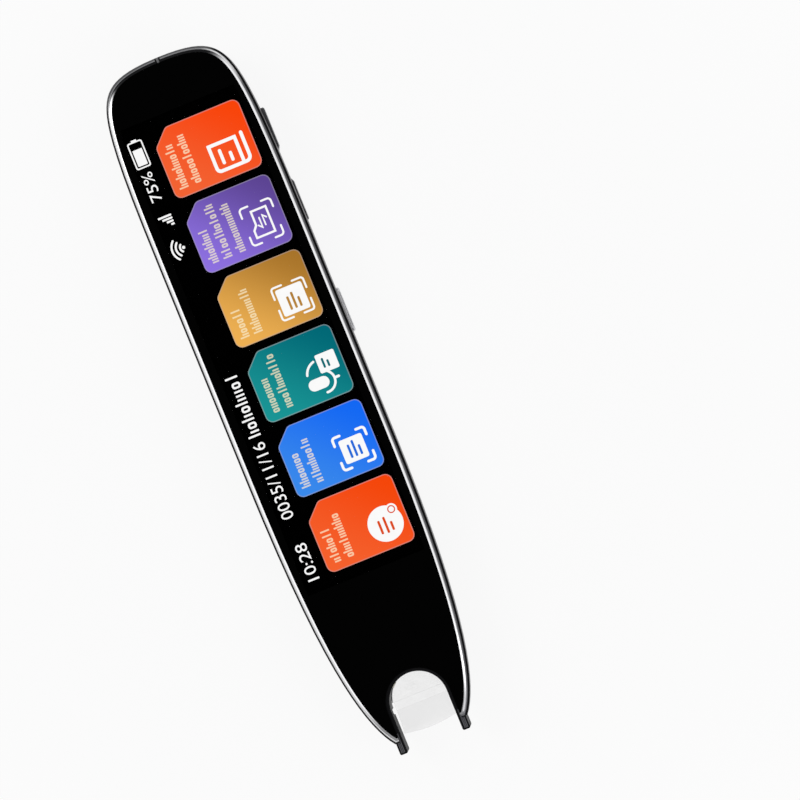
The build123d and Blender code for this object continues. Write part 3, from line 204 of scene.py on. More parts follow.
class PEN_PG_stage(bpy.types.PropertyGroup):
    """The camera, the lamps and the floor"""

    turn: tilt("Turn", "How far the camera stands round to the side with the keys", 3.3)
    roll: tilt("Roll", "How far the camera leans, so that the pen stands aslant", 22.2)
    right: length("Aim right", "How far the camera aims to the right of the pen's middle", 0.0217)
    below: length("Aim below", "How far the camera aims below the pen's middle", 0.00023)
    distance: length("Distance", "Distance from the camera to its aim", 0.9455)
    lens: amount("Lens", "Focal length in millimetres", 200, least=10)
    ambient: amount("Ambient", "Level of the room's even light", 0.45)
    lamp: amount("Lamp power", "Power of the stronger soft lamp", 1.2, unit="POWER")
    floor_shade: share("Floor shade", "Share of the floor's light that comes from the lamps", 0.1)
    plain_floor: BoolProperty(name="Plain floor", description="Lay the pale floor under the pen",
                              default=True)


# ---------------------------------------------------------------- shader and node tools


def emptied(owner):
    """The node tree of a new material or world, with nothing in it."""
    owner.use_nodes = True
    owner.node_tree.nodes.clear()
    return owner.node_tree


class Graph:
    """A node tree in the making."""

    def __init__(self, tree):
        self.tree = tree

    def node(self, kind, settings=None, values=None, output=0):
        """Adds any node, applies its settings first, fills or links its sockets, and gives one output."""
        node = self.tree.nodes.new(kind)
        for name, value in (settings or {}).items():
            setattr(node, name, value)
        for key, value in (values or {}).items():
            if isinstance(key, int):
                socket = node.inputs[key]
            else:
                socket = next(s for s in node.inputs if key in (s.identifier, s.name))
            if isinstance(value, Term):
                self.tree.links.new(value.socket, socket)
            else:
                socket.default_value = value
        return Term(self, node.outputs[output]) if node.outputs else None

    def math(self, operation, *values):
        return self.node("ShaderNodeMath", {"operation": operation}, dict(enumerate(values)))

    def vector(self, x=0.0, y=0.0, z=0.0):
        return self.node("ShaderNodeCombineXYZ", {}, {"X": x, "Y": y, "Z": z})


class Term:
    """A socket in an expression: each operator adds the Math node that it stands for."""

    def __init__(self, graph, socket):
        self.graph = graph
        self.socket = socket

    def output(self, name):
        """Another output of the same node."""
        return Term(self.graph, self.socket.node.outputs[name])

    def __add__(self, other):
        return self.graph.math("ADD", self, other)

    def __sub__(self, other):
        return self.graph.math("SUBTRACT", self, other)

    def __rsub__(self, other):
        return self.graph.math("SUBTRACT", other, self)

    def __mul__(self, other):
        return self.graph.math("MULTIPLY", self, other)

    def __truediv__(self, other):
        return self.graph.math("DIVIDE", self, other)

    def __rtruediv__(self, other):
        return self.graph.math("DIVIDE", other, self)

    def __neg__(self):
        return self.graph.math("MULTIPLY", self, -1)

    def __abs__(self):
        return self.graph.math("ABSOLUTE", self)

    __radd__ = __add__
    __rmul__ = __mul__

    def at_least(self, other):
        return self.graph.math("MAXIMUM", self, other)

    def at_most(self, other):
        return self.graph.math("MINIMUM", self, other)

    def wave(self, spacing):
        """A sine with this distance from crest to crest."""
        return self.graph.math("SINE", self * (2 * pi / spacing))

    def rise(self, start, end):
        """0 before start, 1 after end and a smooth slope between them; a start above end falls instead."""
        return self.graph.node("ShaderNodeMapRange", {"interpolation_type": "SMOOTHSTEP"},
                               {"Value": self, "From Min": start, "From Max": end})


class Finish(Graph):
    """A material in the making: its Principled shader, the nodes that feed it, and places in mm."""

    def __init__(self, name, sockets):
        self.material = bpy.data.materials.new(name)
        super().__init__(emptied(self.material))
        self.shader = self.node("ShaderNodeBsdfPrincipled", {}, sockets)
        self.node("ShaderNodeOutputMaterial", {}, {"Surface": self.shader})
        here = self.node("ShaderNodeTexCoord", output="Object")
        self.place = self.node("ShaderNodeVectorMath", {"operation": "SCALE"},
                               {"Vector": here, "Scale": 1 / MM})
        spread = self.node("ShaderNodeSeparateXYZ", {}, {"Vector": self.place})
        self.x = spread.output("X")
        self.along = spread.output("Y") - TIPS_Y / MM
        self.height = spread.output("Z")

    def noise(self, per_mm, detail=2.0, stretch=(1, 1, 1)):
        """Soft noise from 0 to 1, with so many features to the millimetre along each stretched axis."""
        place = self.node("ShaderNodeVectorMath", {"operation": "MULTIPLY"}, {0: self.place, 1: stretch})
        return self.node("ShaderNodeTexNoise", {}, {"Vector": place, "Scale": per_mm, "Detail": detail})

    def cells(self, per_mm):
        """Distance to the nearest of scattered points, for a pebbled grain."""
        return self.node("ShaderNodeTexVoronoi", {}, {"Vector": self.place, "Scale": per_mm})

    def blend(self, factor, first, second):
        """One colour turning into another."""
        first, second = (c if isinstance(c, Term) else (*c, 1) for c in (first, second))
        values = {"Factor_Float": factor, "A_Color": first, "B_Color": second}
        return self.node("ShaderNodeMix", {"data_type": "RGBA"}, values, output=2)

    def tone(self, base, term, span):
        """A colour whose brightness strays by a span either way with a 0 to 1 term."""
        dark = tuple(c * (1 - span) for c in base)
        light = tuple(min(1.0, c * (1 + span)) for c in base)
        return self.blend(term, dark, light)

    def feed(self, socket, term):
        """Links a term to one of the shader's sockets."""
        self.tree.links.new(term.socket, self.shader.socket.node.inputs[socket])

    def relief(self, height, depth):
        """A bump of this depth in metres from a 0 to 1 height."""
        self.feed("Normal", self.node("ShaderNodeBump", {}, {
            "Height": height, "Distance": depth, "Strength": 1.0}))

    def crown_shade_mask(self, reach=9.0):
        """1 where the rim turns over the crown, out to a reach in mm towards the keys, and 0 elsewhere: where
        painted shade dims the rim and the trim.
        """
        return self.along.rise(PEN_LENGTH - 8.0, PEN_LENGTH - 3.0) * self.x.rise(reach + 3.5, reach)

    def beside_split(self):
        """1 in the seam on either side of the crown's bridge, and 0 elsewhere."""
        return abs(self.x).rise(0.62, 0.55)


class Recipe(Graph):
    """A Geometry Nodes tree with named inputs, and the meshes that it makes."""

    def __init__(self, name):
        super().__init__(bpy.data.node_groups.new(name, "GeometryNodeTree"))
        self.tree.interface.new_socket("Geometry", in_out="OUTPUT", socket_type="NodeSocketGeometry")
        self.sockets = {}

    def takes(self, **defaults):
        """Adds named inputs, whose kind follows from their default values."""
        kinds = {int: "NodeSocketInt", float: "NodeSocketFloat", tuple: "NodeSocketVector"}
        for name, default in defaults.items():
            kind = "NodeSocketMaterial" if default is None else kinds[type(default)]
            socket = self.tree.interface.new_socket(name, in_out="INPUT", socket_type=kind)
            if default is not None:
                socket.default_value = default
            self.sockets[name] = socket.identifier
        inlet = self.node("NodeGroupInput")
        return [inlet.output(name) for name in defaults]

    def row(self, count, pitch, start=0.0):
        """Points in a row along X."""
        return self.node("GeometryNodeMeshLine", {"mode": "OFFSET"}, {
            "Count": count, "Start Location": self.vector(start), "Offset": self.vector(pitch)})

    def join(self, *parts):
        joined = self.node("GeometryNodeJoinGeometry")
        for part in reversed(parts):
            self.tree.links.new(part.socket, joined.socket.node.inputs[0])
        return joined

    def slab(self, outline, thickness):
        """A closed flat plate: a filled curve, pushed out along its normal, with its back kept."""
        face = self.node("GeometryNodeFillCurve", {}, {"Curve": outline})
        front = self.node("GeometryNodeExtrudeMesh", {}, {
            "Mesh": face, "Offset Scale": thickness, "Individual": False})
        back = self.node("GeometryNodeFlipFaces", {}, {"Mesh": face})
        return self.node("GeometryNodeMergeByDistance", {}, {
            "Geometry": self.join(front, back), "Distance": MERGE_DISTANCE})

    def repeats(self, shape, count, pitch, material):
        """Ends the tree in a row of one shape."""
        self.closes(self.node("GeometryNodeInstanceOnPoints", {}, {
            "Points": self.row(count, pitch), "Instance": shape}), material)

    def closes(self, instances, material):
        """Ends the tree in real geometry with its material."""
        real = self.node("GeometryNodeRealizeInstances", {}, {"Geometry": instances})
        dressed = self.node("GeometryNodeSetMaterial", {}, {"Geometry": real, "Material": material})
        self.node("NodeGroupOutput", {}, {"Geometry": dressed})

    def make(self, name, **values):
        """The plain mesh that the tree makes from these inputs."""
        holder = placed(name, bpy.data.meshes.new(name + "_seed"))
        modifier = holder.modifiers.new("Recipe", "NODES")
        modifier.node_group = self.tree
        for key, value in values.items():
            modifier[self.sockets[key]] = value
        holder.update_tag()
        return plain_mesh(holder, name)


# ---------------------------------------------------------------- mesh tools


def placed(name, data):
    """A new object in the scene."""
    thing = bpy.data.objects.new(name, data)
    bpy.context.scene.collection.objects.link(thing)
    return thing


def plain_mesh(holder, name):
    """The mesh that an object comes to; the object itself is removed."""
    bpy.context.view_layer.update()
    mesh = bpy.data.meshes.new_from_object(holder.evaluated_get(bpy.context.evaluated_depsgraph_get()))
    mesh.name = name
    bpy.data.objects.remove(holder)
    return mesh


def coat(mesh, material):
    """Gives a mesh this material alone."""
    mesh.materials.clear()
    mesh.materials.append(material)


def piece_from(mesh, name, body, material):
    """An object for a finished mesh, riding on its body."""
    mesh.name = name
    coat(mesh, material)
    piece = placed(name, mesh)
    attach(piece, body)
    return piece


def shown(mesh, name, light):
    """A piece of what the screen shows."""
    return piece_from(mesh, name, "body", light)


def gathered(meshes):
    """Several meshes of one material as one mesh."""
    whole = bmesh.new()
    for mesh in meshes:
        whole.from_mesh(mesh)
    result = bpy.data.meshes.new("gathered")
    whole.to_mesh(result)
    whole.free()
    return result


def smoothed(mesh, angle):
    """Shades a mesh smooth, with its corners above this angle kept sharp."""
    mesh.shade_smooth()
    mesh.set_sharp_from_angle(angle=radians(angle))
    return mesh


def dressed_copy(node, finish, angle=30):
    """A frame node's merged copy with smooth curves, which stands for the node."""
    source = frame["nodes"][node]
    name = node + "_dressed"
    mesh = bpy.data.meshes.new(name)
    mesh.from_pydata([v.co for v in source.data.vertices], [], [p.vertices for p in source.data.polygons])
    merged = bmesh.new()
    merged.from_mesh(mesh)
    bmesh.ops.remove_doubles(merged, verts=merged.verts, dist=MERGE_DISTANCE / 10)
    bmesh.ops.dissolve_degenerate(merged, edges=merged.edges, dist=MERGE_DISTANCE / 10)
    merged.to_mesh(mesh)
    merged.free()
    piece = piece_from(smoothed(mesh, angle), name, source["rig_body"], material_of(finish))
    weighted = piece.modifiers.new("Even shading", "WEIGHTED_NORMAL")
    weighted.keep_sharp = True
    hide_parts(node)
    return piece


def dress(node, finish):
    """Gives a frame node its finish as it stands."""
    coat(frame["nodes"][node].data, material_of(finish))


def arc(centre, radius, start, end, steps=12):
    """Points along an arc, from one angle in degrees to another."""
    turns = (radians(start + (end - start) * step / steps) for step in range(steps + 1))
    return [centre + cmath.rect(radius, turn) for turn in turns]


def rounded(corners, steps=5):
    """The closed outline through (x, along, radius) corners, with an arc at each."""
    points = []
    for index, (x, along, radius) in enumerate(corners):
        here = complex(x, along)
        back = complex(*corners[index - 1][:2]) - here
        ahead = complex(*corners[(index + 1) % len(corners)][:2]) - here
        back, ahead = back / abs(back), ahead / abs(ahead)
        half = abs(cmath.phase(ahead / back)) / 2
        centre = here + (back + ahead) / abs(back + ahead) * radius / sin(half)
        spoke = here + back * radius / tan(half) - centre
        side = 1 if (-back.conjugate() * ahead).imag > 0 else -1
        turn = side * (pi - 2 * half)
        points += [centre + spoke * cmath.exp(1j * turn * step / steps) for step in range(steps + 1)]
    return points


def rectangle(left, low, right, high, radius):
    """A rounded rectangle's outline, counter-clockwise."""
    return rounded([(left, low, radius), (right, low, radius), (right, high, radius), (left, high, radius)])


def stroked(points, width, steps=6):
    """The outline of an open line drawn with a round nib."""
    left, right = [], []
    for index, here in enumerate(points):
        before = points[max(index - 1, 0)]
        after = points[min(index + 1, len(points) - 1)]
        headings = [step / abs(step) for step in (here - before, after - here) if abs(step) > 0]
        along = sum(headings) / abs(sum(headings))
        reach = width / 2 / max(0.5, (headings[0].conjugate() * along).real)
        left.append(here + 1j * along * reach)
        right.append(here - 1j * along * reach)
    ends = []
    for tip, inner in ((points[-1], points[-2]), (points[0], points[1])):
        spoke = -1j * (tip - inner) / abs(tip - inner) * width / 2
        ends.append([tip + spoke * cmath.exp(1j * pi * step / steps) for step in range(1, steps)])
    return right + ends[0] + left[::-1] + ends[1]


class Plates:
    """Thin closed plates in one plane behind the glass, gathered into one mesh. Outlines are in mm."""

    def __init__(self, face, thickness):
        self.face = face
        self.back = face - thickness
        self.vertices = []
        self.faces = []

    def loop(self, outline):
        """Adds an outline at the face and at the back, and returns the numbers of its vertices."""
        first = len(self.vertices)
        count = len(outline)
        for height in (self.face, self.back):
            self.vertices += [(p.real * MM, TIPS_Y + p.imag * MM, height) for p in outline]
        return list(range(first, first + count)), list(range(first + count, first + 2 * count))

    def wall(self, front, back):
        for index in range(len(front)):
            following = (index + 1) % len(front)
            self.faces.append([front[index], back[index], back[following], front[following]])

    def bar(self, middle, foot, width, reach, radius=0.2):
        """A bar along the pen."""
        self.plate(rectangle(middle - width / 2, foot, middle + width / 2, foot + reach, radius))

    def line(self, points, width):
        """A line drawn with a round nib."""
        self.plate(stroked(points, width))

    def plate(self, outline):
        """A filled outline, counter-clockwise as seen from the front."""
        front, back = self.loop(outline)
        self.faces += [front, back[::-1]]
        self.wall(front, back)

    def ring(self, outer, inner):
        """The band between two outlines of as many points."""
        front, back = self.loop(outer)
        inner_front, inner_back = self.loop(inner)
        for index in range(len(front)):
            following = (index + 1) % len(front)
            self.faces.append([front[index], front[following], inner_front[following], inner_front[index]])
            self.faces.append([back[index], inner_back[index], inner_back[following], back[following]])
        self.wall(front, back)
        self.wall(inner_front[::-1], inner_back[::-1])

    def mesh(self):
        mesh = bpy.data.meshes.new("plates")
        mesh.from_pydata(self.vertices, [], self.faces)
        mesh.validate()
        return mesh


# ---------------------------------------------------------------- finishes


class Grained(NamedTuple):
    """A finish of one colour whose brightness strays with a fine grain, as roughness and relief may too.

    A colour or a shader's value that is a word stands for the setting of that name.
    """

    colour: tuple | str
    strays: float
    # Features to the millimetre, detail and stretch of a soft grain
    noise: tuple = ()
    # or points to the millimetre of a pebbled one.
    cells: float = 0.0
    # The least roughness, and how much the grain adds to it.
    roughness: tuple = (0.5, 0.0)
    # Depth of the relief in metres.
    relief: float = 0.0
    shader: dict = {}


BRUSHED = {"noise": (14, 3.0, (1, 0.04, 1)), "roughness": (0.2, 0.16), "relief": 3e-6}
GLASS_FILLED = {"noise": (6, 4.0), "roughness": (0.34, 0.2), "relief": 6e-6,
                "shader": {"Specular IOR Level": 0.05}}

GRAINED = {
    # Matt dark plastic of the divider between the keys
    "bridge_plastic": Grained(srgb(30, 30, 32), 0.2, (7, 3.0), roughness=(0.55, 0), relief=3e-6),
    # Finely pebbled dark panel
    "inlay_texture": Grained("inlay", 0.28, cells=5.5, roughness=(0.42, 0.2), relief=2e-5,
                             shader={"Metallic": 0.45}),
    # The perforated plate, blasted a little finer than the shell
    "plate_metal": Grained("shell", 0.06, (12, 3.0), roughness=(0.36, 0.1), relief=2e-6,
                           shader={"Metallic": 0.85}),
    # The function key's bright metal, brushed along the pen, and the volume keys' darker one: the same metal
    # with painted shade
    "key_metal": Grained("key", 0.12, **BRUSHED, shader={"Metallic": 0.9, "Specular IOR Level": 0.2}),
    "dark_key_metal": Grained("key_dark", 0.12, **BRUSHED,
                              shader={"Metallic": 0.3, "Specular IOR Level": 0.2}),
    # Satin glass-filled plastic of the fork, and a paler copy of it on the feet's ribs as a painted highlight
    "fork_plastic": Grained("fork", 0.25, **GLASS_FILLED),
    "grip_plastic": Grained("grip", 0.25, **GLASS_FILLED),
    # Satin moulded panel
    "head_cover_plastic": Grained("head_cover", 0.1, cells=7, roughness=(0.38, 0.15), relief=8e-6,
                                  shader={"Metallic": 0.3}),
    # Faintly hazy clear plastic
    "visor_plastic": Grained("visor", 0.02, (0.8, 2.0), roughness=(0.15, 0.1), shader={
        "IOR": 1.49, "Specular IOR Level": 0.2, "Alpha": "visor_cover"}),
    # Pressed sheet, brushed along its length
    "sheet_aluminium": Grained(srgb(188, 189, 193), 0.1, (8, 3.0, (1, 0.05, 1)), roughness=(0.26, 0.2),
                               shader={"Metallic": 1.0}),
    # Bright steel of screws, springs and cans
    "turned_steel": Grained(srgb(200, 200, 202), 0.12, (11, 3.0), roughness=(0.18, 0.2),
                            shader={"Metallic": 1.0}),
    # Matt black moulding
    "moulded_black": Grained(srgb(28, 28, 30), 0.25, (5, 3.0), relief=5e-6),
    # Chip packages with a grainy matt top
    "chip_epoxy": Grained(srgb(26, 26, 27), 0.3, (14, 3.0), roughness=(0.6, 0), relief=6e-6),
    # The battery's folded foil
    "cell_foil": Grained(srgb(190, 191, 194), 0.1, (0.6, 4.0), roughness=(0.4, 0), relief=8e-5,
                         shader={"Metallic": 0.7}),
    # Pale adhesive film
    "tape_film": Grained(srgb(214, 208, 192), 0.06, (3, 3.0), roughness=(0.6, 0)),
    # Open-celled gasket foam
    "foam_black": Grained(srgb(30, 30, 31), 0.5, cells=6, roughness=(0.95, 0), relief=6e-5),
    # Pressed fibre of the speaker's cone
    "cone_paper": Grained(srgb(52, 51, 50), 0.3, (6, 4.0), roughness=(0.85, 0), relief=2e-5),
    # Plated contacts
    "contact_gold": Grained(srgb(226, 184, 104), 0.12, (8, 2.0), roughness=(0.25, 0),
                            shader={"Metallic": 1.0}),
}


def grained(name, look):
    """A material from the table of grained finishes."""
    made = GRAINED[name]

    def setting(value):
        return getattr(look, value) if isinstance(value, str) else value

    least, added = made.roughness
    finish = Finish(name, {"Roughness": least, **{key: setting(value) for key, value in made.shader.items()}})
    grain = finish.noise(*made.noise) if made.noise else finish.cells(made.cells)
    finish.feed("Base Color", finish.tone(setting(made.colour), grain, made.strays))
    if added:
        finish.feed("Roughness", grain * added + least)
    if made.relief:
        finish.relief(grain, made.relief)
    return finish.material


def shell_metal(name, look):
    """Blasted gunmetal, a little warmer towards the keys, and darker along its sides as painted shade."""
    finish = Finish(name, {"Metallic": 0.85})
    drift = finish.noise(0.05, 1.0)
    warm = finish.x.rise(9, 16) * 0.8
    base = finish.blend(warm, finish.tone(look.shell, drift, 0.035), look.shell_warm)
    # Painted shade: the base colour darkens towards the sides.
    finish.feed("Base Color", finish.blend(abs(finish.x).rise(10, 16), base, look.shell_side_shade))
    grain = finish.noise(9, 3.0)
    finish.feed("Roughness", grain * 0.10 + (look.shell_roughness - 0.05))
    finish.relief(grain, look.grain)
    return finish.material


def rim_metal(name, look):
    """The front frame: metal beside the trim, a dark bevel of painted shade, and the shell's painted side
    shade down its side; painted shade also dims it by the keys and over the crown.
    """
    finish = Finish(name, {"Specular IOR Level": 0.0})
    # Bands of the rim, in mm below its top; the bevel's painted shade starts a little higher on the far side.
    inner_band, bevel_band, flank_band = (0.05, 0.01), (0.10, 0.28), (1.2, 1.9)
    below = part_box("front_frame")[1].z / MM - finish.height
    flank = below.rise(*flank_band)
    far_side = finish.x.rise(2, -6)
    # Painted shade on the bevel, a little weaker over the crown.
    bevel = (below + far_side * 0.08).rise(*bevel_band) * (1 - flank)
    # Painted shade: a dark inner line along the rim over the crown.
    inner = below.rise(*inner_band) * finish.crown_shade_mask(CROWN_SHADE_REACH)
    # Painted shade of bevel and crown line, together with the real dark seams beside the bridge.
    dark = (bevel * (1 - finish.crown_shade_mask() * 0.35)).at_least(finish.beside_split()).at_least(inner * 0.9)
    grain = finish.noise(10, 3.0)
    # Painted shade: the rim darker on the side with the keys, below the crown.
    keys = finish.x.rise(-2, 6) * finish.along.rise(PEN_LENGTH - 7, PEN_LENGTH - 13)
    side = finish.blend(keys, finish.tone(look.rim, grain, 0.06), look.rim_keys)
    # Painted shade: the crown's dimmer metal, and the shell's shaded side colour down the flank.
    metal = finish.blend(flank, finish.blend(finish.crown_shade_mask(), side, look.rim_crown), look.shell_side_shade)
    finish.feed("Base Color", finish.blend(dark, metal, look.rim_dark))
    finish.feed("Metallic", 0.8 * (1 - dark))
    finish.feed("Roughness", grain * 0.12 + 0.26)
    finish.relief(grain, 2e-6)
    return finish.material


def trim_metal(name, look):
    """Polished trim, bright along the sides, with painted shade making it duller at the tips and dark where
    it turns over the crown.
    """
    finish = Finish(name, {"Metallic": 1.0})
    # Painted shade: duller towards the tips.
    tips = finish.along.rise(14, 6)
    streak = finish.noise(1.5, 2.0, (1, 0.1, 1))
    metal = finish.blend(tips * 0.85, finish.tone(look.trim, streak, 0.05), look.trim_tip_shade)
    # Painted shade: dark over the crown; the real dark seams beside the bridge join it.
    dark = finish.crown_shade_mask(CROWN_SHADE_REACH).at_least(finish.beside_split())
    finish.feed("Base Color", finish.blend(dark, metal, look.rim_dark))
    finish.feed("Roughness", streak * 0.08 + 0.12)
    return finish.material


def split_plastic(name, look):
    """The bridge at the crown: grey as the rim, between two dark seams."""
    finish = Finish(name, {"Roughness": 0.5, "Specular IOR Level": 0.1})
    seams = abs(finish.x).rise(0.20, 0.26)
    grain = finish.noise(7, 3.0)
    grey = finish.tone(srgb(110, 110, 112), grain, 0.1)
    finish.feed("Base Color", finish.blend(seams, grey, srgb(6, 6, 7)))
    finish.relief(grain, 3e-6)
    return finish.material


def cover_glass_ink(name, look):
    """Dark glass: ink all round, and a window that lets the screen's light out."""
    finish = Finish(name, {"IOR": 1.5, "Specular IOR Level": 0.008})
    inset, fade = 0.15, 0.1
    side = SCREEN_HIGH.x / MM - inset
    window = abs(finish.x).rise(side, side - fade)
    for edge, inward in ((SCREEN_BOTTOM, 1), (SCREEN_TOP, -1)):
        start = edge + inward * inset
        window = window * finish.along.rise(start, start + inward * fade)
    finish.feed("Alpha", 1 - window * bpy.context.scene.pen_screen.show_through)
    smear = finish.noise(0.08, 3.0)
    finish.feed("Base Color", finish.tone(look.glass, smear, 0.3))
    finish.feed("Roughness", smear * 0.05 + 0.02)
    return finish.material


def panel_black(name, look):
    """The unlit panel behind the glass, with its faint grid of cells."""
    finish = Finish(name, {"Roughness": 0.5, "Specular IOR Level": 0.0})
    cell = 0.3
    grid = (finish.x.wave(cell) * finish.along.wave(cell)).rise(-1, 1)
    finish.feed("Base Color", finish.blend(grid, (1e-4, 1e-4, 1e-4), (3e-4, 3e-4, 3e-4)))
    return finish.material


def solder_mask(name, look):
    """Green board with copper runs under its mask."""
    finish = Finish(name, {"Roughness": 0.32, "Coat Weight": 0.3})
    runs = finish.node("ShaderNodeTexBrick", {"offset": 0.5}, {
        "Vector": finish.vector(finish.along, finish.x), "Scale": 0.9, "Mortar Size": 0.06,
        "Color1": (0, 0, 0, 1), "Color2": (0, 0, 0, 1), "Mortar": (1, 1, 1, 1)})
    finish.feed("Base Color", finish.blend(runs, srgb(18, 74, 44), srgb(40, 116, 66)))
    finish.relief(runs, 3e-5)
    return finish.material


def flex_film(name, look):
    """Amber film circuit with fine runs along it."""
    finish = Finish(name, {"Roughness": 0.35})
    runs = finish.x.wave(0.4).rise(0.2, 0.6)
    finish.feed("Base Color", finish.blend(runs, srgb(170, 96, 24), srgb(205, 140, 60)))
    return finish.material


def coated_lens(name, look):
    """Lens glass with a faint violet coat."""
    finish = Finish(name, {"IOR": 1.6, "Roughness": 0.03, "Alpha": 0.5})
    finish.feed("Base Color", finish.blend(finish.noise(0.4, 1.0), srgb(60, 50, 110), srgb(40, 80, 120)))
    return finish.material


def lamp_resin(name, look):
    """Pale phosphor resin of the scan lamps."""
    finish = Finish(name, {"Roughness": 0.35})
    finish.feed("Base Color", finish.blend(finish.noise(3, 2.0), srgb(240, 238, 226), srgb(232, 226, 200)))
    return finish.material


WORKED_FINISHES = {make.__name__: make for make in (
    shell_metal, rim_metal, trim_metal, split_plastic, cover_glass_ink, panel_black, solder_mask, flex_film,
    coated_lens, lamp_resin)}


def material_of(name):
    """The finish of this name, made the first time that a piece takes it."""
    made = bpy.data.materials.get(name)
    return made or WORKED_FINISHES.get(name, grained)(name, bpy.context.scene.pen_finish)


def lit_finish(name, colours, along):
    """A lit area of the screen whose colour turns with a 0 to 1 term of its place."""
    finish = Finish(name, {"Base Color": (0, 0, 0, 1), "Roughness": 0.5, "Specular IOR Level": 0.0,
                           "Emission Strength": bpy.context.scene.pen_screen.strength})
    finish.feed("Emission Color", finish.blend(along(finish), *colours))
    return finish.material


def ink_finish(name, drop):
    """Lit ink, a little dimmer in soft patches."""
    ink = bpy.context.scene.pen_screen.ink
    return lit_finish(name, (tuple(c * (1 - drop) for c in ink), ink), lambda finish: finish.noise(0.6, 1.0))


# ---------------------------------------------------------------- the screen's content

# What the screen shows lies in the glass's thickness, just over the panel: tiles, marks and their cutouts.
SCREEN_DEPTH = 0.00004
TILE_FACE = SCREEN_HIGH.z + 2.2 * SCREEN_DEPTH
MARK_FACE = TILE_FACE + 1.2 * SCREEN_DEPTH
CUTOUT_FACE = MARK_FACE + 1.2 * SCREEN_DEPTH

# Rows on the screen read along the pen, from the feet to the crown.
READING_TURN = Matrix.Rotation(radians(90), 4, "Z")

# Width of a tile's lighter rim in mm.
TILE_RIM = 0.2

# Each tile's name, its colour at the lower left and its colour at the upper right.
TILE_SHADES = (
    ("orange", (244, 100, 52), (250, 68, 8)),
    ("purple", (142, 113, 226), (92, 68, 146)),
    ("gold", (240, 178, 84), (168, 116, 42)),
    ("teal", (26, 150, 150), (1, 104, 118)),
    ("blue", (58, 138, 236), (18, 104, 245)),
    ("red", (246, 98, 46), (246, 70, 8)),
)

# Each tile's label rows: where the row's foot lies across the screen, and its length, in mm.
LABEL_ROWS = (
    ((-3.95, 10.0), (-0.95, 11.2)),
    ((-3.95, 7.7), (-0.9, 11.7), (2.2, 11.4)),
    ((-3.95, 6.6), (-0.95, 9.8)),
    ((-3.95, 7.8), (-0.95, 11.7)),
    ((-3.95, 7.8), (-0.95, 9.7)),
    ((-3.95, 8.0), (-0.95, 9.7)),
)

# Where the marks of the status row lie along the pen, in mm: where each starts, or starts and ends.
CLOCK_PLACE = (41.35, 49.6)
DATE_PLACE = (55.4, 72.7)
WEEKDAY_START = 73.9
WAVES_PLACE = 117.0
SIGNAL_START = 122.3
CHARGE_PLACE = (128.1, 134.6)
BATTERY_PLACE = (135.7, 141.7)


def tile_light(index, name, towards=(1, 1, 1), cover=0.0):
    """A tile's two colours, turned by a share towards another colour, as one lit finish over the tile."""
    screen = bpy.context.scene.pen_screen
    left, low = tile_corner(index)
    across, along = screen.tile_width / MM, screen.tile_height / MM
    tile, *shades = TILE_SHADES[index]
    colours = [tuple(c + (end - c) * cover for c, end in zip(srgb(*shade), towards)) for shade in shades]

    def rising(finish):
        return ((finish.x - left) * (0.55 / across) + (finish.along - low) * (0.45 / along)).rise(0.0, 1.0)

    return lit_finish(f"{tile}_{name}", colours, rising)


def tile_corner(index):
    """A tile's lower left corner in mm."""
    screen = bpy.context.scene.pen_screen
    left = (SCREEN_LOW.x + screen.tile_margin) / MM
    top = SCREEN_TOP - (screen.top_margin + index * screen.tile_pitch) / MM
    return left, top - screen.tile_height / MM


def tile_outline(index, inset=0.0):
    """A tile's outline in mm: rounded, with its upper left corner cut off."""
    screen = bpy.context.scene.pen_screen
    left, low = tile_corner(index)
    right, high = left + screen.tile_width / MM - inset, low + screen.tile_height / MM - inset
    left, low = left + inset, low + inset
    radius = screen.corner / MM - inset
    # The cut's own corners are a little softer.
    cut, soft = screen.cut / MM - inset * 0.6, 1.4
    return rounded([(left, low, radius), (right, low, radius), (right, high, radius),
                    (left + cut, high, soft), (left, high - cut, soft)])


def brackets(plates, left, low, right, high, arm, width, radius):
    """Four corner brackets round a rectangle."""
    steps = 5
    for x, inward in ((left, 1), (right, -1)):
        for along, upward in ((low, 1), (high, -1)):
            turn = complex(x + inward * radius, along + upward * radius)
            quarter = (pi / 2 * step / steps for step in range(steps + 1))
            bend = [turn - complex(inward * radius * cos(a), upward * radius * sin(a)) for a in quarter]
            plates.line([complex(x, along + upward * arm), *bend, complex(x + inward * arm, along)], width)


# Each icon is drawn in mm from its tile's lower left corner, as marks and as cutouts over them.


def book_icon(marks, cutouts, left, low):
    """A closed book seen from the front, with its pages along the right."""
    line = 0.75
    west, east, foot, head = left + 10.0, left + 16.7, low + 1.7, low + 8.2
    outer = rounded([(west, foot, 1.2), (east, foot, 0.1), (east, head, 0.1), (west, head, 0.2)])
    inner = rounded([(west + line, foot + line, 0.5), (east - line, foot + line, 0.05),
                     (east - line, head - line, 0.05), (west + line, head - line, 0.1)])
    marks.ring(outer, inner)
    fold = complex(east + 0.2, foot + 1.4)
    marks.line([complex(east - 0.1, foot + line / 2), *arc(fold, 1.4 - line / 2, -90, 0, 6),
                complex(east + 1.225, head)], line)
    marks.bar(left + 12.3, low + 3.2, 0.7, 3.4, 0.3)
    marks.bar(left + 14.3, low + 3.2, 0.7, 2.2, 0.3)


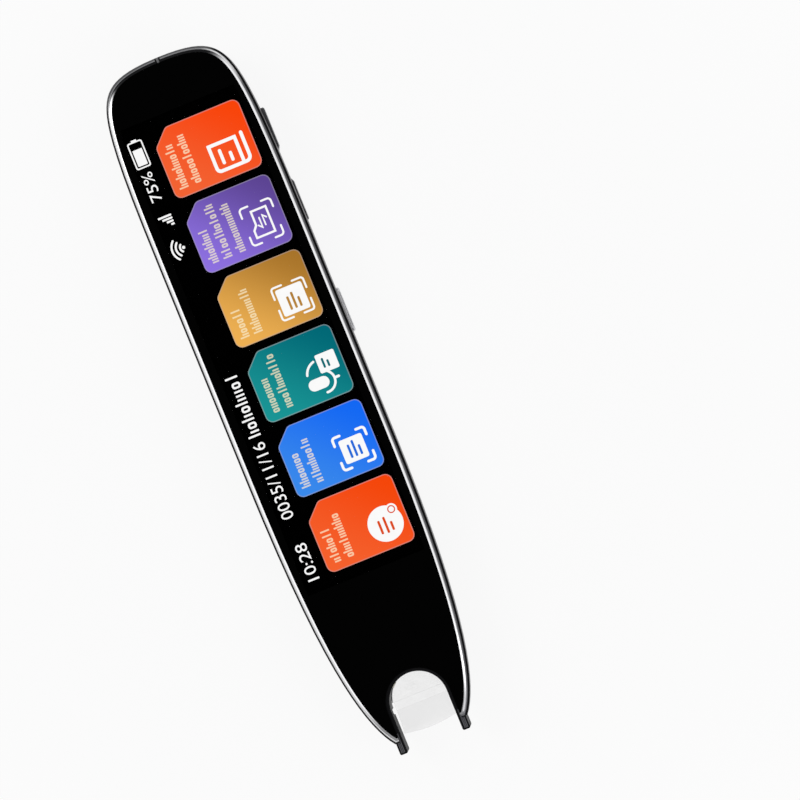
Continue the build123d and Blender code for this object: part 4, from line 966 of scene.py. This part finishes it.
def scan_page_icon(marks, cutouts, left, low):
    """A page between scan brackets, with two swapping arrows on it."""
    brackets(marks, left + 11.3, low + 1.9, left + 18.4, low + 10.2, 2.0, 0.42, 0.7)
    line = 0.45
    # Each corner of the page, and the way from it to the inner edge's corner.
    page = (((12.5, 3.0), (line, line)), ((17.1, 3.0), (-line, line)), ((17.1, 9.1), (-line, -line)),
            ((13.3, 9.1), (line, -line)), ((13.3, 5.9), (line, -0.2)), ((12.5, 4.9), (line, -0.2)))
    outer = [(left + x, low + y, 0.08) for (x, y), _ in page]
    inner = [(left + x + dx, low + y + dy, 0.04) for (x, y), (dx, dy) in page]
    marks.ring(rounded(outer), rounded(inner))
    # Each arrow's foot and tip, and its barb, which turns back from the tip.
    for foot, tip, barb in ((14.7 + 7.1j, 14.7 + 4.9j, -0.7 + 0.7j), (15.5 + 5.2j, 15.5 + 7.4j, 0.7 - 0.7j)):
        marks.line([complex(left, low) + point for point in (foot, tip, tip + barb)], 0.34)


def scan_square_icon(arm, line, inset):
    """A filled square between scan brackets, with rows of plain bars cut out of it."""

    def icon(marks, cutouts, left, low):
        west, east, foot, head = left + 11.2, left + 18.45, low + 1.95, low + 9.2
        brackets(marks, west, foot, east, head, arm, line, 0.6)
        marks.plate(rectangle(west + inset, foot + inset, east - inset, head - inset, 0.45))
        middle = (west + east) / 2
        for x, reach in ((-0.95, 3.0), (0.15, 3.6), (1.25, 2.2)):
            cutouts.bar(middle + x, foot + inset + 0.9, 0.52, reach)

    return icon


def voice_icon(marks, cutouts, left, low):
    """A microphone in its cradle beside a filled square, with an arc leading to it."""
    marks.plate(rectangle(left + 10.9, low + 2.7, left + 15.5, low + 5.2, 1.24))
    cradle = complex(left + 14.4, low + 3.95)
    marks.line(arc(cradle, 2.35, -95, 60, 14), 0.5)
    marks.line([cradle + 2.4, cradle + 3.3], 0.55)
    marks.plate(rectangle(left + 14.4, low + 5.7, left + 18.7, low + 9.8, 0.35))
    marks.line(arc(complex(left + 14.6, low + 5.6), 3.2, 165, 105, 8), 0.5)
    cutouts.bar(left + 15.7, low + 6.6, 0.48, 2.2)
    cutouts.bar(left + 16.7, low + 6.6, 0.48, 1.5)


def disc_icon(marks, cutouts, left, low):
    """A round badge with a small dial over its edge."""
    middle = complex(left + 15.05, low + 5.45)
    marks.plate(arc(middle, 3.85, 0, 357, 47))
    for x, start, reach in ((-1.3, -1.9, 3.0), (0.0, -2.1, 3.6), (1.2, -1.9, 2.0)):
        cutouts.bar(middle.real + x, middle.imag + start, 0.52, reach)
    dial = complex(left + 17.3, low + 7.85)
    marks.plate(arc(dial, 1.25, 0, 355, 31))
    cutouts.ring(arc(dial, 0.85, 0, 350, 23), arc(dial, 0.6, 0, 350, 23))


TILE_ICONS = (
    book_icon,
    scan_page_icon,
    scan_square_icon(arm=2.4, line=0.42, inset=0.65),
    voice_icon,
    scan_square_icon(arm=1.75, line=0.56, inset=1.0),
    disc_icon,
)


def glyph_row_recipe():
    """Rings, bars and pairs of bars in random order on one line, which stand for a word."""
    recipe = Recipe("glyph_row")
    count, pitch, width, height, line, thickness, seed, material = recipe.takes(
        Count=8, Pitch=0.0011, Width=0.0009, Height=0.0014, Line=0.00035, Thickness=SCREEN_DEPTH, Seed=0,
        Material=None)

    def loop(across, up, radius):
        block = recipe.node("GeometryNodeCurvePrimitiveQuadrilateral", {"mode": "RECTANGLE"}, {
            "Width": across, "Height": up})
        return recipe.node("GeometryNodeFilletCurve", {"mode": "POLY"}, {
            "Curve": block, "Count": 4, "Radius": radius, "Limit Radius": True})

    def raised(outline, across, up):
        return recipe.node("GeometryNodeTransform", {}, {
            "Geometry": recipe.slab(outline, thickness), "Translation": recipe.vector(across, up)})

    def bar(across, reach):
        return raised(loop(line, reach, line * 0.2), across, reach / 2)

    shift, tall = (width - line) / 2, height * 1.45
    ring = recipe.join(loop(width, height, width * 0.4),
                       loop(width - 2 * line, height - 2 * line, width * 0.2))
    shapes = (raised(ring, 0.0, height / 2), recipe.join(bar(-shift, height), bar(shift, height)),
              recipe.join(bar(-shift, tall), bar(shift, height)), bar(0.0, tall),
              raised(ring, 0.0, height / 2))
    choices = recipe.join(*(recipe.node("GeometryNodeGeometryToInstance", {}, {"Geometry": shape})
                            for shape in shapes))
    pick = recipe.node("FunctionNodeRandomValue", {"data_type": "INT"}, {
        "Min_002": 0, "Max_002": len(shapes) - 1, "Seed": seed}, output=2)
    glyphs = recipe.node("GeometryNodeInstanceOnPoints", {}, {
        "Points": recipe.row(count, pitch, pitch / 2), "Instance": choices, "Pick Instance": True,
        "Instance Index": pick})
    recipe.closes(glyphs, material)
    return recipe


def laid(mesh, x, along, face):
    """Puts a row made in the flat, from its start, on the screen; x and along are in mm."""
    mesh.transform(Matrix.Translation((x * MM, TIPS_Y + along * MM, face - SCREEN_DEPTH)) @ READING_TURN)
    return mesh


def digits(text, left, right, low, high):
    """Plain digits as a closed mesh that fills a box on the screen, in mm, read upwards."""
    writing = bpy.data.curves.new("digits", "FONT")
    writing.body = text
    writing.size = 1.0
    writing.extrude = 0.5
    writing.resolution_u = 4
    mesh = plain_mesh(placed("digits", writing), "digits")
    lowest = Vector(min(v.co[axis] for v in mesh.vertices) for axis in range(3))
    highest = Vector(max(v.co[axis] for v in mesh.vertices) for axis in range(3))
    span = highest - lowest
    mesh.transform(Matrix.Diagonal(((high - low) * MM / span.x, (right - left) * MM / span.y,
                                    SCREEN_DEPTH / span.z, 1)) @ Matrix.Translation(-lowest))
    return laid(mesh, right, low, MARK_FACE)


class PEN_OT_light_tiles(bpy.types.Operator):
    """Lay the six coloured tiles, each with its thin lighter rim"""

    bl_idname = "pen.light_tiles"
    bl_label = "Light Tiles"

    def execute(self, context):
        for index, (name, _, _) in enumerate(TILE_SHADES):
            body = Plates(TILE_FACE, SCREEN_DEPTH)
            body.plate(tile_outline(index, TILE_RIM))
            shown(body.mesh(), f"{name}_tile", tile_light(index, "tile_light"))
            rim = Plates(TILE_FACE, SCREEN_DEPTH)
            rim.ring(tile_outline(index), tile_outline(index, TILE_RIM))
            shown(rim.mesh(), f"{name}_tile_rim", tile_light(index, "rim_light", (0.42, 0.40, 0.40), 0.4))
        return {"FINISHED"}


class PEN_OT_draw_labels(bpy.types.Operator):
    """Draw the rows of rings and bars that stand for the tiles' words"""

    bl_idname = "pen.draw_labels"
    bl_label = "Draw Labels"

    def execute(self, context):
        screen = context.scene.pen_screen
        recipe = glyph_row_recipe()
        # In mm: from one glyph to the next, and from the tile's foot to the first.
        pitch, start = 1.1, 1.65
        for index, labels in enumerate(LABEL_ROWS):
            name = TILE_SHADES[index][0]
            _, low = tile_corner(index)
            ink = tile_light(index, "label_light", screen.label, screen.label_cover)
            rows = [laid(recipe.make("label_row", Count=round(reach / pitch), Pitch=pitch * MM,
                                     Seed=screen.seed + 10 * index + row, Material=ink),
                         foot, low + start, MARK_FACE) for row, (foot, reach) in enumerate(labels)]
            shown(gathered(rows), f"{name}_labels", ink)
        return {"FINISHED"}


class PEN_OT_draw_icons(bpy.types.Operator):
    """Draw a plain icon on each tile"""

    bl_idname = "pen.draw_icons"
    bl_label = "Draw Icons"

    def execute(self, context):
        marks = Plates(MARK_FACE, SCREEN_DEPTH)
        for index, (name, _, _) in enumerate(TILE_SHADES):
            cutouts = Plates(CUTOUT_FACE, SCREEN_DEPTH)
            TILE_ICONS[index](marks, cutouts, *tile_corner(index))
            if cutouts.faces:
                shade = tile_light(index, "cutout_light", (0, 0, 0), 0.2)
                shown(cutouts.mesh(), f"{name}_icon_bars", shade)
        shown(marks.mesh(), "tile_icons", ink_finish("icon_light", 0.06))
        return {"FINISHED"}


class PEN_OT_draw_status(bpy.types.Operator):
    """Draw the row beside the tiles: charge, signal, waves, a word's place, date and clock"""

    bl_idname = "pen.draw_status"
    bl_label = "Draw Status Row"

    def execute(self, context):
        screen = context.scene.pen_screen
        ink = ink_finish("status_light", 0.08)
        left, right = SCREEN_LOW.x / MM + 0.6, SCREEN_LOW.x / MM + 3.95
        middle = (left + right) / 2
        marks = Plates(MARK_FACE, SCREEN_DEPTH)
        # The battery, with its charge and its nub
        low, high = BATTERY_PLACE
        wall = 0.3
        marks.ring(rectangle(left, low, right, high, 0.5),
                   rectangle(left + wall, low + wall, right - wall, high - wall, 0.25))
        marks.plate(rectangle(left + 0.62, low + 0.6, right - 0.62, low + 4.2, 0.1))
        marks.plate(rectangle(middle - 0.6, high - 0.02, middle + 0.6, high + 0.35, 0.1))
        # Four signal bars on a common foot
        foot, pitch, rise = right - 0.15, 0.66, 0.75
        for step in range(4):
            start = SIGNAL_START + pitch * step
            marks.plate(rectangle(foot - rise * (step + 1), start, foot, start + 0.42, 0.1))
        # Three waves over a dot
        dot = complex(right - 0.35, WAVES_PLACE)
        marks.plate(arc(dot, 0.34, 0, 345, 23))
        for radius in (1.05, 1.95, 2.85):
            marks.line(arc(dot + 0.3, radius, 133, 227, 12), 0.42)
        shown(marks.mesh(), "status_icons", ink)
        numbers = [digits(screen.charge, left + 0.35, right - 0.6, *CHARGE_PLACE),
                   digits(screen.date, left + 0.55, foot, *DATE_PLACE),
                   digits(screen.clock, left + 0.7, right - 0.1, *CLOCK_PLACE)]
        shown(gathered(numbers), "status_digits", ink)
        weekday = glyph_row_recipe().make(
            "status_weekday", Count=8, Pitch=1.82 * MM, Width=1.35 * MM, Height=1.9 * MM, Line=0.42 * MM,
            Seed=screen.seed, Material=ink)
        shown(laid(weekday, foot, WEEKDAY_START, MARK_FACE), "status_weekday", ink)
        return {"FINISHED"}


# ---------------------------------------------------------------- dressing the outer parts


class PEN_OT_dress_housing(bpy.types.Operator):
    """Finish the rear cover, the front frame, the pad and the plate of the speaker"""

    bl_idname = "pen.dress_housing"
    bl_label = "Dress Housing"

    def execute(self, context):
        dressed_copy("rear_cover", "shell_metal", 32)
        dressed_copy("front_frame", "rim_metal", 40)
        dressed_copy("antenna_split", "split_plastic")
        dressed_copy("speaker_surround", "shell_metal")
        dressed_copy("surround_inlay", "inlay_texture")
        dressed_copy("speaker_plate", "plate_metal")
        return {"FINISHED"}


class PEN_OT_dress_front(bpy.types.Operator):
    """Finish the glass, its bright trim and the panel behind it"""

    bl_idname = "pen.dress_front"
    bl_label = "Dress Front"

    def execute(self, context):
        dressed_copy("bezel_ring", "trim_metal", 40)
        dressed_copy("cover_glass", "cover_glass_ink", 40)
        dress("display_panel", "panel_black")
        return {"FINISHED"}


class PEN_OT_dress_keys(bpy.types.Operator):
    """Finish the three keys and the divider between the volume keys"""

    bl_idname = "pen.dress_keys"
    bl_label = "Dress Keys"

    def execute(self, context):
        dressed_copy("function_key", "key_metal")
        dressed_copy("volume_up_key", "dark_key_metal")
        dressed_copy("volume_down_key", "dark_key_metal")
        dress("key_divider", "bridge_plastic")
        return {"FINISHED"}


# The ribs on the front of each foot, and the contacts on each face of the port's tongue.
FOOT_RIBS = {"Count": 3, "Pitch": 0.0003, "Radius": 0.000108, "Height": 0.0042}
PORT_CONTACTS = {"Count": 12, "Pitch": 0.0005, "Size": (0.00025, 0.0022, 0.00005)}


def row_width(row):
    """Distance from the first to the last in a row."""
    return row["Pitch"] * (row["Count"] - 1)


def rib_recipe():
    """Upright half-round ribs side by side."""
    recipe = Recipe("upright_ribs")
    count, pitch, radius, height, material = recipe.takes(**FOOT_RIBS, Material=None)
    rib = recipe.node("GeometryNodeMeshCylinder", {"fill_type": "NGON"}, {
        "Vertices": 8, "Radius": radius, "Depth": height})
    recipe.repeats(rib, count, pitch, material)
    return recipe


def contact_recipe():
    """Flat contacts side by side."""
    recipe = Recipe("flat_contacts")
    count, pitch, size, material = recipe.takes(**PORT_CONTACTS, Material=None)
    recipe.repeats(recipe.node("GeometryNodeMeshCube", {}, {"Size": size}), count, pitch, material)
    return recipe


class PEN_OT_dress_head(bpy.types.Operator):
    """Finish the scan head: its cover, visor, fork and spring, and rib the fork's feet"""

    bl_idname = "pen.dress_head"
    bl_label = "Dress Scan Head"

    def execute(self, context):
        dressed_copy("scan_head_cover", "head_cover_plastic")
        dressed_copy("scan_window", "visor_plastic")
        dressed_copy("trigger_fork", "fork_plastic")
        recipe, grip = rib_recipe(), material_of("grip_plastic")
        low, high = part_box("trigger_fork")
        foot_middle = high.x - 0.00078
        ribs_middle = low.y + 0.0004 + FOOT_RIBS["Height"] / 2
        upright = Matrix.Rotation(radians(90), 4, "X")
        ribs = []
        for side in (-1, 1):
            mesh = recipe.make("ribs", **FOOT_RIBS, Material=grip)
            start = side * foot_middle - row_width(FOOT_RIBS) / 2
            mesh.transform(Matrix.Translation((start, ribs_middle, high.z)) @ upright)
            ribs.append(mesh)
        piece_from(smoothed(gathered(ribs), 50), "foot_ribs", "trigger", grip)
        # The share of its length that the spring would keep with the fork slid in is worked out, but the
        # copied spring is left as it is.
        spring = dressed_copy("fork_spring", "turned_steel", 60)
        low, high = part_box("fork_spring")
        slide = next(joint for joint in frame["joints"] if joint["name"] == "trigger_slide")
        kept = 1 - slide["range_m"][1] / (high.y - low.y)
        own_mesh(spring)
        return {"FINISHED"}


class PEN_OT_dress_port(bpy.types.Operator):
    """Finish the charging port and lay its contacts on the tongue"""

    bl_idname = "pen.dress_port"
    bl_label = "Dress Charging Port"

    def execute(self, context):
        dressed_copy("usb_shell", "turned_steel")
        dress("usb_tongue", "moulded_black")
        recipe, gold = contact_recipe(), material_of("contact_gold")
        low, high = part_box("usb_tongue")
        start = (low.x + high.x) / 2 - row_width(PORT_CONTACTS) / 2
        tip_gap = 0.0003
        middle = high.y - tip_gap - PORT_CONTACTS["Size"][1] / 2
        rows = []
        for face in (low.z, high.z):
            mesh = recipe.make("contacts", **PORT_CONTACTS, Material=gold)
            mesh.transform(Matrix.Translation((start, middle, face)))
            rows.append(mesh)
        piece_from(gathered(rows), "port_contacts", "body", gold)
        return {"FINISHED"}


class PEN_OT_dress_insides(bpy.types.Operator):
    """Finish everything inside the housing"""

    bl_idname = "pen.dress_insides"
    bl_label = "Dress Insides"

    def execute(self, context):
        finishes = {
            "sheet_aluminium": ("mid_frame",),
            "turned_steel": ("board_screws", "board_shield", "radio_module", "speaker_magnet", "key_domes",
                             "microphone", "head_screws"),
            "solder_mask": ("main_board", "camera_board"),
            "chip_epoxy": ("board_chips", "trigger_switch"),
            "moulded_black": ("speaker_frame", "scan_chassis", "camera_barrel"),
            "cell_foil": ("battery",),
            "tape_film": ("battery_tape",),
            "flex_film": ("battery_lead", "display_flex", "key_flex", "antenna"),
            "foam_black": ("speaker_gasket",),
            "cone_paper": ("speaker_cone",),
            "coated_lens": ("camera_lens",),
            "lamp_resin": ("scan_lamps",),
        }
        for finish, nodes in finishes.items():
            for node in nodes:
                dress(node, finish)
        return {"FINISHED"}


# ---------------------------------------------------------------- stage


def studio_world(stage):
    """White before the camera; for reflections, bright above, ahead and to the left, darker elsewhere."""
    world = bpy.data.worlds.new("studio")
    bpy.context.scene.world = world
    graph = Graph(emptied(world))
    rays = graph.node("ShaderNodeLightPath")
    heading = graph.node("ShaderNodeTexCoord", output="Generated")
    axes = graph.node("ShaderNodeSeparateXYZ", {}, {"Vector": heading})
    above = axes.output("Z").rise(0.1, 0.85)
    ahead = axes.output("Y").rise(0.15, 0.95)
    left = axes.output("X").rise(-0.2, -0.8)
    mirrored = (above * 0.85 + 0.15 + ahead * 0.5 + left * 0.35).at_most(1.15)
    glossy = rays.output("Is Glossy Ray")
    seen = rays.output("Is Camera Ray").at_least(rays.output("Is Transmission Ray"))
    strength = seen + (mirrored * glossy + stage.ambient * (1 - glossy)) * (1 - seen)
    light = graph.node("ShaderNodeBackground", {}, {"Color": (1, 1, 1, 1), "Strength": strength})
    graph.node("ShaderNodeOutputWorld", {}, {"Surface": light})


def floor_material(stage):
    """A pale floor that shows as white, and takes a soft shadow near the pen."""
    material = bpy.data.materials.new("pale_floor")
    graph = Graph(emptied(material))
    place = graph.node("ShaderNodeTexCoord", output="Object")
    away = graph.node("ShaderNodeVectorMath", {"operation": "LENGTH"}, {0: place}, output="Value")
    bounced = graph.node("ShaderNodeLightPath", output="Is Diffuse Ray")
    white = graph.node("ShaderNodeEmission", {}, {"Color": (1, 1, 1, 1), "Strength": 1.0})
    lit = graph.node("ShaderNodeBsdfDiffuse", {}, {"Color": (0.86, 0.86, 0.87, 1)})
    share_lit = (away.rise(0.30, 0.05) * stage.floor_shade).at_least(bounced)
    mixed = graph.node("ShaderNodeMixShader", {}, {0: share_lit, 1: white, 2: lit})
    graph.node("ShaderNodeOutputMaterial", {}, {"Surface": mixed})
    return material


def soft_lamp(name, offset, power):
    """A square soft lamp beside the pen's middle, which it looks at."""
    lamp = bpy.data.lights.new(name, "AREA")
    lamp.shape = "SQUARE"
    lamp.size = 0.35
    lamp.energy = power
    offset = Vector(offset)
    turned = (-offset).to_track_quat("-Z", "Y").to_matrix().to_4x4()
    placed(name, lamp).matrix_world = Matrix.Translation(CAD_MIDDLE + offset) @ turned


def lay_floor(stage, reach=6.0):
    """A square floor, so many metres from its middle to its sides."""
    mesh = bpy.data.meshes.new("floor")
    corners = ((-1, -1), (1, -1), (1, 1), (-1, 1))
    mesh.from_pydata([(x * reach, y * reach, 0) for x, y in corners], [], [(0, 1, 2, 3)])
    coat(mesh, floor_material(stage))
    placed("floor", mesh)


def set_camera(stage):
    """The camera looks down on the screen, leaning so that the pen lies aslant in the picture."""
    across = Vector((cos(stage.turn), 0, -sin(stage.turn)))
    back = Vector((sin(stage.turn), 0, cos(stage.turn)))
    along = Vector((0, 1, 0))
    right = across * cos(stage.roll) - along * sin(stage.roll)
    top = across * sin(stage.roll) + along * cos(stage.roll)
    aim = Vector((0, CAD_MIDDLE.y, CAD_MIDDLE.z)) + right * stage.right - top * stage.below
    lens = bpy.data.cameras.new("camera")
    lens.lens = stage.lens
    lens.sensor_width = 36
    camera = placed("camera", lens)
    turned = Matrix((right, top, back)).transposed().to_4x4()
    camera.matrix_world = Matrix.Translation(aim + back * stage.distance) @ turned
    bpy.context.scene.camera = camera


class PEN_OT_build_stage(bpy.types.Operator):
    """Lay the floor, light the studio and stand the camera"""

    bl_idname = "pen.build_stage"
    bl_label = "Build Stage"

    def execute(self, context):
        stage = context.scene.pen_stage
        context.scene.view_settings.view_transform = "Standard"
        studio_world(stage)
        soft_lamp("lamp_left", (-0.34, 0.30, 0.48), stage.lamp)
        soft_lamp("lamp_right", (0.40, -0.34, 0.40), stage.lamp * 0.6)
        if stage.plain_floor:
            lay_floor(stage)
        set_camera(stage)
        return {"FINISHED"}


class PEN_PT_steps(bpy.types.Panel):
    """The steps that dress the pen, in order"""

    bl_idname = "PEN_PT_steps"
    bl_label = "Scanning Pen"
    bl_space_type = "VIEW_3D"
    bl_region_type = "UI"
    bl_category = "Pen"

    def draw(self, context):
        for step in STEPS:
            self.layout.operator(step.bl_idname)


STEPS = (
    PEN_OT_dress_housing,
    PEN_OT_dress_front,
    PEN_OT_dress_keys,
    PEN_OT_dress_head,
    PEN_OT_dress_port,
    PEN_OT_dress_insides,
    PEN_OT_light_tiles,
    PEN_OT_draw_labels,
    PEN_OT_draw_icons,
    PEN_OT_draw_status,
    PEN_OT_build_stage,
)
SETTINGS = {"pen_finish": PEN_PG_finish, "pen_screen": PEN_PG_screen, "pen_stage": PEN_PG_stage}
CLASSES = (*SETTINGS.values(), *STEPS, PEN_PT_steps)


def register():
    for group in CLASSES:
        bpy.utils.register_class(group)
    for name, group in SETTINGS.items():
        setattr(bpy.types.Scene, name, PointerProperty(type=group))


def unregister():
    for name in SETTINGS:
        delattr(bpy.types.Scene, name)
    for group in reversed(CLASSES):
        bpy.utils.unregister_class(group)


def main():
    """Registers the add-on and runs its steps in order."""
    register()
    bpy.ops.pen.dress_housing()
    bpy.ops.pen.dress_front()
    bpy.ops.pen.dress_keys()
    bpy.ops.pen.dress_head()
    bpy.ops.pen.dress_port()
    bpy.ops.pen.dress_insides()
    bpy.ops.pen.light_tiles()
    bpy.ops.pen.draw_labels()
    bpy.ops.pen.draw_icons()
    bpy.ops.pen.draw_status()
    bpy.ops.pen.build_stage()


if __name__ == "__main__":
    main()
